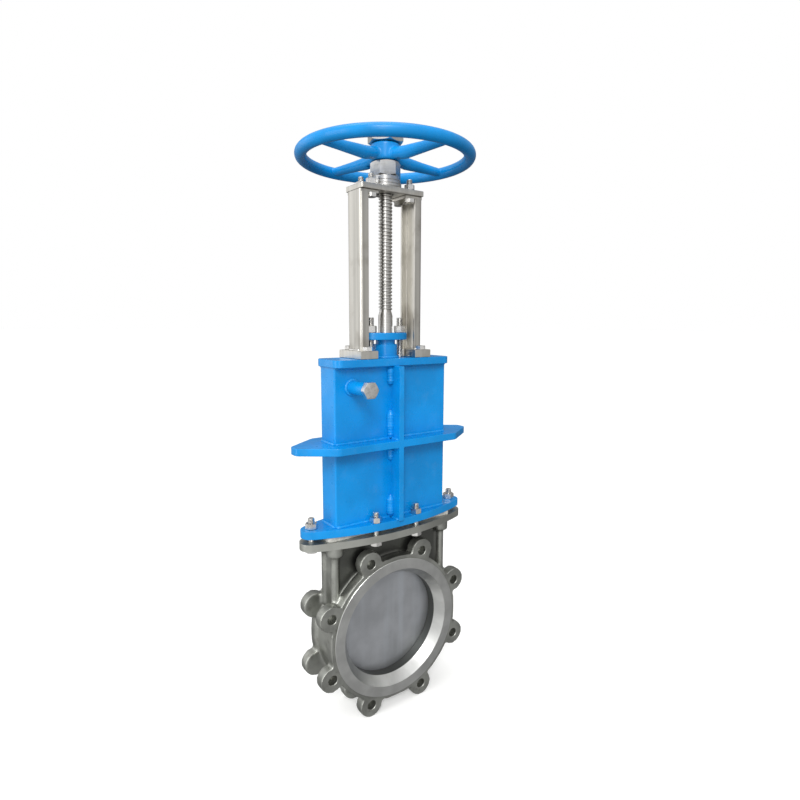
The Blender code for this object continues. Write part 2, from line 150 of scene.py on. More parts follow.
class Recipe:
    """A material under construction, around one Principled shader."""

    def __init__(self, name: str, **constants: float) -> None:
        """Start a material.

        Args:
            name: name of the material.
            constants: values set directly on the shader, with underscores for spaces.
        """
        self.material = bpy.data.materials.new(name)
        self.material.use_nodes = True
        self.nodes = self.material.node_tree.nodes
        self.links = self.material.node_tree.links
        self.shader = self.nodes["Principled BSDF"]
        for key, value in constants.items():
            self.shader.inputs[key.replace("_", " ")].default_value = value
        self.place = self.node("ShaderNodeTexCoord", {}, {}, "Object")

    def node(self, kind: str, settings: dict, inputs: dict, output: str | int = 0) -> Wire:
        """Add a node.

        Args:
            kind: type name of the node.
            settings: its properties, set before its sockets.
            inputs: values or wires by socket name or number.
            output: name or number of the socket that is returned.

        Returns:
            The chosen output.
        """
        made = self.nodes.new(kind)
        for key, value in settings.items():
            setattr(made, key, value)
        for key, value in inputs.items():
            self.feed(made.inputs[key], value)
        return Wire(self, made.outputs[output])

    def feed(self, socket: bpy.types.NodeSocket, value: Value) -> None:
        """Link a wire to a socket, or set the socket's own value."""
        if isinstance(value, Wire):
            self.links.new(value.socket, socket)
        elif isinstance(value, tuple) and len(value) == 3 and socket.type == "RGBA":
            socket.default_value = (*value, 1.0)
        else:
            socket.default_value = value

    def noise(self, size: float, detail: float = 3.0, rough: float = 0.5,
              stretch: Sequence[float] = (1, 1, 1)) -> Wire:
        """Cloudy noise.

        Args:
            size: width of its largest features, in millimetres.
            detail: number of finer layers.
            rough: strength of the finer layers.
            stretch: how much longer the features are along each axis.

        Returns:
            A value that varies round one half.
        """
        scale = tuple(1.0 / (size * MM * s) for s in stretch)
        where = self.node("ShaderNodeMapping", {}, {"Vector": self.place, "Scale": scale})
        return self.node("ShaderNodeTexNoise", {},
                         {"Vector": where, "Scale": 1.0, "Detail": detail, "Roughness": rough}, "Fac")

    def spots(self, size: float) -> Wire:
        """Distance from the nearest of many scattered points, in cells of the given size."""
        return self.node("ShaderNodeTexVoronoi", {}, {"Vector": self.place, "Scale": 1.0 / (size * MM)},
                         "Distance")

    def axes(self) -> tuple[Wire, Wire, Wire]:
        """The place on the valve as three numbers in metres."""
        split = self.node("ShaderNodeSeparateXYZ", {}, {"Vector": self.place})
        return tuple(Wire(self, out) for out in split.socket.node.outputs)

    def edges(self, low: float = 0.52, high: float = 0.6) -> Wire:
        """One on sharp outer edges and zero on flat faces."""
        bend = self.node("ShaderNodeNewGeometry", {}, {}, "Pointiness")
        return bend.step(low, high)

    def mix(self, factor: Value, low: Value, high: Value) -> Wire:
        """Blend two colours."""
        return self.node("ShaderNodeMix", {"data_type": "RGBA"}, {0: factor, 6: low, 7: high}, 2)

    def finish(self, colour: Value, roughness: Value, height: Wire, depth: float) -> bpy.types.Material:
        """Connect the surface and return the material.

        Args:
            colour: base colour.
            roughness: roughness.
            height: relief from 0 to 1.
            depth: height of the relief in millimetres.

        Returns:
            The finished material.
        """
        self.feed(self.shader.inputs["Base Color"], colour)
        self.feed(self.shader.inputs["Roughness"], roughness)
        relief = {"Height": height, "Distance": depth * MM, "Strength": 1.0}
        self.feed(self.shader.inputs["Normal"], self.node("ShaderNodeBump", {}, relief, "Normal"))
        return self.material


# ------------------------------------------------------------------- finishes


@dataclass(frozen=True)
class Finish:
    """A surface finish; each kind says how it is mixed."""

    name: str
    colour: Colour
    roughness: float

    def mixed(self) -> bpy.types.Material:
        """Return the material, made on first use."""
        return bpy.data.materials.get(self.name) or self.make()

    def make(self) -> bpy.types.Material:
        """Build the material."""
        raise NotImplementedError

    def tone(self, factor: float) -> Colour:
        """The colour made lighter or darker."""
        return tuple(min(1.0, part * factor) for part in self.colour)


@dataclass(frozen=True)
class Enamel(Finish):
    """Sprayed gloss enamel: orange peel, thin edges, a little dust and a few dull patches."""

    bare: Colour = (0.16, 0.42, 0.74)
    dirt: Colour = (0.3, 0.42, 0.52)

    def make(self) -> bpy.types.Material:
        """Build the enamel."""
        mix = Recipe(self.name, Metallic=0.0, Specular_IOR_Level=0.3, Coat_Weight=0.1, Coat_Roughness=0.1)
        clouds = mix.noise(70, 4)
        patchy = mix.mix(clouds.step(0.3, 0.75), self.tone(0.88), self.tone(1.12))
        rubbed = mix.edges(0.53, 0.64) * mix.noise(6, 3).step(0.4, 0.62)
        dust = mix.noise(28, 5, 0.6).step(0.5, 0.85) * 0.07
        colour = mix.mix(dust, mix.mix(rubbed * 0.35, patchy, self.bare), self.dirt)
        roughness = self.roughness + mix.noise(25, 3).step(0.35, 0.7) * 0.14
        peel = mix.noise(2.6, 2) * 0.7 + mix.noise(40, 2) * 2.0
        return mix.finish(colour, roughness, peel, 0.09)


@dataclass(frozen=True)
class BlastedCasting(Finish):
    """Pickled stainless casting with fine grit texture, and turned faces round the flow bore.

    The bore behind the mouth and the sunk panels of the neck are darkened with painted shade.
    """

    turned: Colour = (0.62, 0.625, 0.61)
    stain: Colour = (0.16, 0.145, 0.125)
    bore_r: float = 113.0
    ring_r: float = 132.4
    ring_y: float = 41.9
    bore_y: float = 23.7
    # panel_x, panel_y and panel_z bound the sunk neck panels that get painted shade; shade is how dark that
    # painted shade is
    panel_x: Point = (108.0, 113.0)
    panel_y: Point = (15.0, 20.0)
    panel_z: Point = (70.0, 100.0)
    shade: float = 0.3
    groove: float = 1.1

    def make(self) -> bpy.types.Material:
        """Build the casting skin and its machined faces."""
        mix = Recipe(self.name, Metallic=1.0)
        x, y, z = (axis * (1 / MM) for axis in mix.axes())
        radius = (x * x + z * z) ** 0.5
        depth = abs(y)
        ring = depth.step(self.ring_y - 0.2, self.ring_y) * radius.step(self.ring_r + 0.4, self.ring_r)
        bored = radius.step(self.bore_r + 0.4, self.bore_r) * depth.step(self.bore_y, self.bore_y + 0.6)
        machined = ring.math("MAXIMUM", ring, bored)
        clouds = mix.noise(55, 5, 0.6).step(0.35, 0.68)
        skin = mix.mix(clouds, self.tone(0.78), self.tone(1.16))
        skin = mix.mix(mix.noise(16, 5, 0.65).step(0.54, 0.74) * 0.5, skin, self.stain)
        skin = mix.mix(mix.edges(0.52, 0.58) * 0.6, skin, self.tone(1.5))
        # Painted shade: the sunk panels of the neck are darkened to a shade tone of the skin
        recess_painted_shade = depth.step(*self.panel_y[::-1]) * abs(x).step(*self.panel_x[::-1]) * z.step(*self.panel_z)
        # Painted shade: the bore behind the mouth is darkened the same way
        bore = radius.step(self.bore_r, self.bore_r - 4) * depth.step(self.bore_y + 0.6, self.bore_y)
        skin = mix.mix(recess_painted_shade.math("MAXIMUM", recess_painted_shade, bore), skin, self.tone(self.shade))
        cut = mix.mix(mix.noise(30, 3, stretch=(1, 4, 1)).step(0.3, 0.7), self.turned,
                      tuple(part * 0.82 for part in self.turned))
        grit = mix.noise(1.6, 4, 0.7) * 0.5 + mix.noise(9, 3) * 0.6 + mix.spots(3.2) * 0.3
        rings = radius.math("SINE", radius * (tau / self.groove)) * 0.12 + mix.noise(5, 2) * 0.15
        height = grit * (1 - machined) + rings * machined
        roughness = (self.roughness + clouds * 0.12) * (1 - machined) + machined * 0.3
        return mix.finish(mix.mix(machined, skin, cut), roughness, height, 0.22)


@dataclass(frozen=True)
class BrushedSheet(Finish):
    """Rolled stainless sheet brushed along one direction, with handling marks."""

    grain: Sequence[float] = (1, 1, 60)
    stain: Colour = (0.2, 0.17, 0.13)

    def make(self) -> bpy.types.Material:
        """Build the brushed sheet."""
        mix = Recipe(self.name, Metallic=1.0)
        lines = mix.noise(0.9, 3, 0.6, self.grain)
        broad = mix.noise(7, 3, 0.5, self.grain)
        clouds = mix.noise(45, 4)
        tone = mix.mix(broad.step(0.3, 0.7), self.tone(0.86), self.tone(1.1))
        tone = mix.mix(clouds.step(0.52, 0.78) * 0.45, tone, self.stain)
        tone = mix.mix(mix.edges() * 0.5, tone, self.tone(1.5))
        roughness = self.roughness + lines * 0.16 + clouds.step(0.5, 0.8) * 0.08
        return mix.finish(tone, roughness, lines * 0.8 + mix.noise(18, 2), 0.05)


@dataclass(frozen=True)
class TurnedBar(Finish):
    """Round bar turned about Z, with fine tool rings and an oily film."""

    ring: float = 0.7
    oil: Colour = (0.12, 0.1, 0.07)

    def make(self) -> bpy.types.Material:
        """Build the turned surface."""
        mix = Recipe(self.name, Metallic=1.0)
        rings = mix.noise(self.ring, 3, 0.6, (40, 40, 1))
        clouds = mix.noise(20, 4, 0.6)
        tone = mix.mix(rings.step(0.3, 0.7), self.tone(0.84), self.tone(1.1))
        tone = mix.mix(clouds.step(0.5, 0.76) * 0.4, tone, self.oil)
        tone = mix.mix(mix.edges() * 0.5, tone, self.tone(1.5))
        roughness = self.roughness + clouds * 0.14
        return mix.finish(tone, roughness, rings * 0.7 + mix.noise(3, 2) * 0.3, 0.05)


@dataclass(frozen=True)
class Fastener(Finish):
    """Bright stainless screw stock with small dents and faint forging marks."""

    stain: Colour = (0.24, 0.2, 0.15)

    def make(self) -> bpy.types.Material:
        """Build the fastener finish."""
        mix = Recipe(self.name, Metallic=1.0)
        clouds = mix.noise(7, 4, 0.6)
        tone = mix.mix(clouds.step(0.3, 0.7), self.tone(0.82), self.tone(1.12))
        tone = mix.mix(mix.noise(2.5, 4, 0.7).step(0.58, 0.75) * 0.5, tone, self.stain)
        tone = mix.mix(mix.edges() * 0.6, tone, self.tone(1.4))
        dents = mix.noise(1.2, 3, 0.6) * 0.5 + mix.noise(5, 2) * 0.6
        return mix.finish(tone, self.roughness + clouds * 0.16, dents, 0.06)


@dataclass(frozen=True)
class GroundPlate(Finish):
    """Ground gate plate with fine cross scratches and faint rub marks up and down."""

    rub: Colour = (0.56, 0.59, 0.63)

    def make(self) -> bpy.types.Material:
        """Build the ground plate."""
        mix = Recipe(self.name, Metallic=1.0)
        across = mix.noise(0.8, 3, 0.6, (50, 50, 1))
        along = mix.noise(22, 3, 0.55, (1, 1, 14))
        clouds = mix.noise(60, 4)
        tone = mix.mix(clouds.step(0.3, 0.72), self.tone(0.86), self.tone(1.12))
        tone = mix.mix(along.step(0.48, 0.75) * 0.6, tone, self.rub)
        roughness = self.roughness + along * 0.12 + across * 0.08
        return mix.finish(tone, roughness, across * 0.6 + mix.noise(30, 2), 0.05)


@dataclass(frozen=True)
class Soft(Finish):
    """Packing, gasket and seal stuff: matt, fibrous, slightly mottled."""

    weave: float = 2.2

    def make(self) -> bpy.types.Material:
        """Build the fibrous surface."""
        mix = Recipe(self.name, Metallic=0.0)
        fibre = mix.spots(self.weave)
        clouds = mix.noise(12, 5, 0.65)
        tone = mix.mix(clouds.step(0.3, 0.72), self.tone(0.75), self.tone(1.2))
        tone = mix.mix(fibre.step(0.5, 0.9) * 0.4, tone, self.tone(0.5))
        return mix.finish(tone, self.roughness + clouds * 0.15, fibre * 0.8 + clouds * 0.4, 0.2)


@dataclass(frozen=True)
class Paper(Finish):
    """Seamless pale studio floor with a barely visible tooth."""

    def make(self) -> bpy.types.Material:
        """Build the floor's surface."""
        mix = Recipe(self.name, Metallic=0.0, Specular_IOR_Level=0.2, Emission_Strength=0.2)
        clouds = mix.noise(400, 3)
        tone = mix.mix(clouds.step(0.2, 0.8), self.tone(0.985), self.colour)
        return mix.finish(tone, self.roughness, mix.noise(3, 3), 0.04)


BLUE = Enamel("blue_enamel", (0.0, 0.243, 0.63), 0.25)
CASTING = BlastedCasting("blasted_casting", (0.355, 0.362, 0.335), 0.38)
SHEET = BrushedSheet("brushed_sheet", (0.53, 0.515, 0.475), 0.24)
TURNED = TurnedBar("turned_bar", (0.56, 0.55, 0.53), 0.22)
BRIGHT = Fastener("bright_fastener", (0.66, 0.65, 0.63), 0.2)
PLATE = GroundPlate("ground_plate", (0.48, 0.495, 0.52), 0.36)
BRONZE = TurnedBar("turned_bronze", (0.5, 0.31, 0.12), 0.28, 0.7, (0.14, 0.08, 0.03))
PACKING = Soft("braided_packing", (0.05, 0.05, 0.052), 0.7)
SEAL = Soft("fibre_seal", (0.52, 0.51, 0.47), 0.6, 3.0)
FLOOR = Paper("studio_paper", (0.86, 0.86, 0.85), 0.8)


# --------------------------------------------------------------------- shapes


@dataclass(frozen=True)
class Limits:
    """Lowest and highest corners of a packed sub-part, in millimetres."""

    low: Vector
    high: Vector

    @classmethod
    def of(cls, node: str) -> "Limits":
        """Read a sub-part's limits from the frame."""
        low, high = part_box(node)
        return cls(low / MM, high / MM)

    @property
    def centre(self) -> Vector:
        """The middle of the box."""
        return (self.low + self.high) / 2

    @property
    def z(self) -> tuple[float, float]:
        """The lowest and highest height."""
        return self.low.z, self.high.z


class Outline:
    """A flat closed line of straight runs and arcs, drawn on the plane z = 0."""

    def __init__(self, x: float, y: float) -> None:
        """Start at a point."""
        self.bm = bmesh.new()
        self.last = self.bm.verts.new((x, y, 0))

    def line(self, x: float, y: float) -> "Outline":
        """Draw straight to a point."""
        end = self.bm.verts.new((x, y, 0))
        self.bm.edges.new((self.last, end))
        self.last = end
        return self

    def arc(self, x: float, y: float, turn: float, steps: int = 16) -> "Outline":
        """Swing about a centre.

        Args:
            x: centre across.
            y: centre along.
            turn: angle in degrees, anticlockwise if positive.
            steps: number of straight pieces.

        Returns:
            The outline, so that calls can follow each other.
        """
        done = bmesh.ops.spin(self.bm, geom=[self.last], cent=(x, y, 0), axis=(0, 0, 1), steps=steps,
                              angle=radians(turn), dvec=(0, 0, 0), use_duplicate=False)
        self.last = next(item for item in done["geom_last"] if isinstance(item, bmesh.types.BMVert))
        return self

    def closed(self) -> bmesh.types.BMesh:
        """Close the line and fill it with one face."""
        bmesh.ops.remove_doubles(self.bm, verts=self.bm.verts, dist=1e-3)
        loose = [v for v in self.bm.verts if len(v.link_edges) < 2]
        if len(loose) == 2:
            self.bm.edges.new(loose)
        bmesh.ops.contextual_create(self.bm, geom=self.bm.edges[:])
        return self.bm


def upright(edge: bmesh.types.BMEdge) -> bool:
    """Whether an edge stands along Z."""
    return abs(edge.verts[0].co.z - edge.verts[1].co.z) > 1


class Solid:
    """A closed mesh that is shaped step by step, in millimetres."""

    def __init__(self, bm: bmesh.types.BMesh | None = None) -> None:
        """Start from a bmesh, or from nothing."""
        self.bm = bm or bmesh.new()

    @classmethod
    def block(cls, x: Point, y: Point, z: Point) -> "Solid":
        """A block between limits along each axis, in either order."""
        solid = cls()
        spans = [sorted(pair) for pair in (x, y, z)]
        middle = [sum(pair) / 2 for pair in spans]
        size = [high - low for low, high in spans]
        place = Matrix.Translation(middle) @ Matrix.Diagonal((*size, 1))
        bmesh.ops.create_cube(solid.bm, size=1, matrix=place)
        return solid

    @classmethod
    def bar(cls, radius: float, low: float, high: float, at: Point = (0, 0), steps: int = 48,
            axis: Axis = Axis.Z, turn: float = 0.0) -> "Solid":
        """A round or many-sided bar.

        Args:
            radius: distance from its middle to its corners.
            low: start along the axis.
            high: end along the axis.
            at: centre as (x, y), or as (x, z) when it runs along Y.
            steps: number of sides.
            axis: direction that it runs in.
            turn: angle of its first corner in degrees.

        Returns:
            The bar.
        """
        solid = cls()
        bmesh.ops.create_cone(solid.bm, cap_ends=True, segments=steps, radius1=radius, radius2=radius,
                              depth=high - low, matrix=Matrix.Rotation(radians(turn), 4, "Z"))
        solid.shift(0, 0, (low + high) / 2)
        return solid.laid(axis).shift(at[0], *((0, at[1]) if axis is Axis.Y else (at[1], 0)))

    @classmethod
    def turned(cls, profile: Sequence[Point], steps: int = 96, axis: Axis = Axis.Z) -> "Solid":
        """Turn a profile.

        Args:
            profile: (radius, height) corners; it starts and ends on the axis, or it is closed.
            steps: number of sides.
            axis: axis of the turning.

        Returns:
            The turned shape.
        """
        solid = cls()
        corners = [solid.bm.verts.new((radius, 0, height)) for radius, height in profile]
        ring = profile[0][0] > 0
        for near, far in zip(corners, corners[1:] + (corners[:1] if ring else [])):
            solid.bm.edges.new((near, far))
        bmesh.ops.spin(solid.bm, geom=solid.bm.verts[:] + solid.bm.edges[:], cent=(0, 0, 0), axis=(0, 0, 1),
                       dvec=(0, 0, 0), angle=tau, steps=steps, use_merge=True, use_duplicate=False)
        return solid.tidy().laid(axis)

    @classmethod
    def plate(cls, outline: Outline, low: float, high: float, axis: Axis = Axis.Z) -> "Solid":
        """Give an outline a thickness between two heights."""
        solid = cls(outline.closed())
        done = bmesh.ops.extrude_face_region(solid.bm, geom=solid.bm.faces[:], use_keep_orig=True)
        top = [item for item in done["geom"] if isinstance(item, bmesh.types.BMVert)]
        bmesh.ops.translate(solid.bm, verts=top, vec=(0, 0, high - low))
        solid.shift(0, 0, low)
        return solid.tidy().laid(axis)

    @classmethod
    def thread(cls, radius: float, pitch: float, low: float, high: float, depth: float, flank: float,
               left: bool = False, steps: int = 24) -> "Solid":
        """A screwed bar along Z with a real helix.

        Args:
            radius: radius of its crests.
            pitch: rise of one turn.
            low: height of its start.
            high: height of its end.
            depth: depth of the groove.
            flank: height of one sloping flank as a share of the pitch.
            left: whether it is a left-hand thread.
            steps: steps in a turn.

        Returns:
            The screwed bar, cut off square at both ends.
        """
        solid = cls()
        flat = (1 - 2 * flank) / 2
        heights = [0, flank, flank + flat, 2 * flank + flat, 1]
        radii = [radius - depth, radius, radius, radius - depth, radius - depth]
        start = low - 2 * pitch
        corners = [solid.bm.verts.new((r, 0, start + h * pitch)) for r, h in zip(radii, heights)]
        for near, far in zip(corners, corners[1:]):
            solid.bm.edges.new((near, far))
        turns = int((high - low) / pitch) + 4
        bmesh.ops.spin(solid.bm, geom=solid.bm.verts[:] + solid.bm.edges[:], cent=(0, 0, 0), axis=(0, 0, 1),
                       dvec=(0, 0, pitch / steps), angle=(-1 if left else 1) * tau * turns,
                       steps=turns * steps, use_duplicate=False)
        bmesh.ops.remove_doubles(solid.bm, verts=solid.bm.verts, dist=0.02)
        for height, up in ((low, -1), (high, 1)):
            everything = solid.bm.verts[:] + solid.bm.edges[:] + solid.bm.faces[:]
            bmesh.ops.bisect_plane(solid.bm, geom=everything, plane_co=(0, 0, height), plane_no=(0, 0, up),
                                   clear_outer=True, dist=1e-4)
            rim = [edge for edge in solid.bm.edges if edge.is_boundary
                   and all(abs(vert.co.z - height) < 1e-3 for vert in edge.verts)]
            bmesh.ops.edgeloop_fill(solid.bm, edges=rim)
        return solid.tidy()

    def tidy(self) -> "Solid":
        """Merge doubled corners and point every face outwards."""
        bmesh.ops.remove_doubles(self.bm, verts=self.bm.verts, dist=1e-3)
        bmesh.ops.dissolve_degenerate(self.bm, dist=1e-4, edges=self.bm.edges)
        bmesh.ops.recalc_face_normals(self.bm, faces=self.bm.faces)
        return self

    def laid(self, axis: Axis) -> "Solid":
        """Lay a shape made along Z along the given axis, so that (x, y, z) becomes (x, z, y)."""
        if axis is Axis.Y:
            self.bm.transform(Matrix(((1, 0, 0, 0), (0, 0, 1, 0), (0, 1, 0, 0), (0, 0, 0, 1))))
            bmesh.ops.reverse_faces(self.bm, faces=self.bm.faces)
        return self

    def shift(self, x: float, y: float, z: float) -> "Solid":
        """Move the shape."""
        self.bm.transform(Matrix.Translation((x, y, z)))
        return self

    def turn(self, angle: float) -> "Solid":
        """Turn the shape about Z by an angle in degrees."""
        self.bm.transform(Matrix.Rotation(radians(angle), 4, "Z"))
        return self

    def copy(self) -> "Solid":
        """Return another shape like this one."""
        return Solid(self.bm.copy())

    def add(self, *others: "Solid") -> "Solid":
        """Take in the faces of other shapes without joining them."""
        for other in others:
            mesh = other.mesh()
            self.bm.from_mesh(mesh)
            bpy.data.meshes.remove(mesh)
        return self

    def round_corners(self, radius: float, picked: Callable[[bmesh.types.BMEdge], bool],
                      steps: int = 8) -> "Solid":
        """Round the edges that a test picks."""
        chosen = [edge for edge in self.bm.edges if picked(edge)]
        bmesh.ops.bevel(self.bm, geom=chosen, offset=radius, offset_type="OFFSET", affect="EDGES",
                        segments=steps, profile=0.5, material=-1, clamp_overlap=True)
        return self

    def eased(self, width: float, steps: int = 2, angle: float = 35.0) -> "Solid":
        """Ease every edge that is sharper than an angle."""
        limit = radians(angle)
        return self.round_corners(width, lambda edge: edge.calc_face_angle(0.0) > limit, steps)

    def mesh(self) -> bpy.types.Mesh:
        """Write the shape to a mesh block and let go of the bmesh."""
        made = bpy.data.meshes.new("shape")
        self.bm.to_mesh(made)
        self.bm.free()
        return made

    def _modified(self, kind: str, other: "Solid | None" = None, **settings: object) -> "Solid":
        """Pass the shape through one modifier and take the result back."""
        scene = bpy.context.scene.collection
        holder = bpy.data.objects.new("holder", self.mesh())
        scene.objects.link(holder)
        modifier = holder.modifiers.new("step", kind)
        for key, value in settings.items():
            setattr(modifier, key, value)
        spare = [holder]
        if other is not None:
            tool = bpy.data.objects.new("tool", other.mesh())
            scene.objects.link(tool)
            modifier.object = tool
            spare.append(tool)
        bpy.context.view_layer.update()
        graph = bpy.context.evaluated_depsgraph_get()
        result = bpy.data.meshes.new_from_object(holder.evaluated_get(graph))
        for item in spare:
            old = item.data
            bpy.data.objects.remove(item)
            bpy.data.meshes.remove(old)
        self.bm = bmesh.new()
        self.bm.from_mesh(result)
        bpy.data.meshes.remove(result)
        return self

    def join(self, *others: "Solid") -> "Solid":
        """Fuse with solids that overlap this one."""
        for other in others:
            self._modified("BOOLEAN", other, operation="UNION", solver="MANIFOLD")
        return self

    def cut(self, *others: "Solid") -> "Solid":
        """Take solids away from this one."""
        for other in others:
            self._modified("BOOLEAN", other, operation="DIFFERENCE", solver="MANIFOLD")
        return self

    def within(self, other: "Solid") -> "Solid":
        """Keep only what lies inside another solid."""
        return self._modified("BOOLEAN", other, operation="INTERSECT", solver="MANIFOLD")

    def cast(self, grain: float, passes: int) -> "Solid":
        """Melt the shape into one skin whose inner corners are filled, as a casting's are.

        Args:
            grain: width of the new faces.
            passes: number of smoothing passes.

        Returns:
            The shape.
        """
        self._modified("REMESH", mode="VOXEL", voxel_size=grain)
        for _ in range(passes):
            bmesh.ops.smooth_vert(self.bm, verts=self.bm.verts, factor=0.5, use_axis_x=True,
                                  use_axis_y=True, use_axis_z=True)
        return self

    def placed(self, name: str, body: Body, slot: str, finish: Finish, *replaced: str,
               sharp: float = 38.0) -> bpy.types.Object:
        """Turn the shape into a finished piece of the valve.

        Args:
            name: name of the piece.
            body: rigid body that it rides on.
            slot: material slot of the record; not used.
            finish: finish that it is dressed in.
            replaced: packed sub-parts that it stands for.
            sharp: angle in degrees past which an edge is drawn sharp.

        Returns:
            The object.
        """
        self.tidy()
        self.bm.transform(Matrix.Scale(MM, 4))
        mesh = self.mesh()
        mesh.name = name
        mesh.shade_smooth()
        mesh.set_sharp_from_angle(angle=radians(sharp))
        mesh.materials.clear()
        mesh.materials.append(finish.mixed())
        piece = bpy.data.objects.new(name, mesh)
        bpy.context.scene.collection.objects.link(piece)
        weighted = piece.modifiers.new("even_shading", "WEIGHTED_NORMAL")
        weighted.keep_sharp = True
        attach(piece, body.value)
        if replaced:
            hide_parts(*replaced)
        LOG.info("%s: %d faces, rides on %s", name, len(mesh.polygons), body.value)
        return piece


def rectangle(half_x: float, half_y: float, corner: float, steps: int = 6) -> Outline:
    """An upright rectangle about the origin with round corners."""
    x, y = half_x - corner, half_y - corner
    line = Outline(half_x, -y).line(half_x, y)
    ends = ((-x, half_y), (-half_x, -y), (x, -half_y), None)
    for (cx, cy), to in zip(((x, y), (-x, y), (-x, -y), (x, -y)), ends):
        line.arc(cx, cy, 90, steps)
        if to:
            line.line(*to)
    return line


def lens(half_width: float, end_x: float, end_r: float, steps: int = 40) -> Outline:
    """Outline wide in the middle, with arcs that run tangent into two round ends."""
    big = (end_x ** 2 + half_width ** 2 - end_r ** 2) / (2 * (half_width - end_r))
    reach = atan2(end_x, big - half_width)
    line = Outline(big * sin(reach), half_width - big + big * cos(reach))
    wide, tight = degrees(2 * reach), 180 - degrees(2 * reach)
    line.arc(0, half_width - big, wide, steps).arc(-end_x, 0, tight, 16)
    return line.arc(0, big - half_width, wide, steps).arc(end_x, 0, tight, 16)


@dataclass(frozen=True)
class HexForm:
    """Proportions of chamfered hexagon heads and nuts."""

    chamfer: float = 0.95
    slope: float = 0.5

    def blank(self, across: float, low: float, high: float, turn: float, ends: tuple[bool, bool]) -> Solid:
        """A hexagon with its corners turned off.

        Args:
            across: distance across flats.
            low: underside.
            high: top.
            turn: angle of a corner in degrees.
            ends: whether the underside and the top are chamfered.

        Returns:
            The blank, centred on Z.
        """
        corner, land = across / sqrt(3), across / 2 * self.chamfer
        drop = (corner - land) * self.slope
        profile = [(0, low)]
        profile += [(land, low), (corner + 0.01, low + drop)] if ends[0] else [(corner + 0.01, low)]
        profile += [(corner + 0.01, high - drop), (land, high)] if ends[1] else [(corner + 0.01, high)]
        turned = Solid.turned(profile + [(0, high)], 72)
        return Solid.bar(corner + 0.02, low, high, steps=6, turn=turn).within(turned)

    def nut(self, across: float, low: float, high: float, hole: float, turn: float) -> Solid:
        """A nut with both faces chamfered and a countersunk hole."""
        lead = 0.8
        bore = [(0, low - 1), (hole + lead + 1, low - 1), (hole, low + lead), (hole, high - lead),
                (hole + lead + 1, high + 1), (0, high + 1)]
        return self.blank(across, low, high, turn, (True, True)).cut(Solid.turned(bore, 48))


HEX = HexForm()


def metric_end(radius: float, low: float, high: float, pitch: float) -> Solid:
    """A screwed bar along Z whose top is chamfered."""
    lead = pitch * 0.8
    form = Solid.turned([(0, low), (radius, low), (radius, high - lead), (radius - lead, high), (0, high)],
                        32)
    return Solid.thread(radius, pitch, low - 1, high + 1, pitch * 0.6, 0.42, steps=20).within(form)


def fitted(part: Solid, name: str, node: str, body: Body = Body.FRAME) -> None:
    """Place a bright screw, nut, pin or plug that stands for one packed sub-part."""
    part.placed(name, body, "fastener_steel", BRIGHT, node)


# ------------------------------------------------------------------- valve body


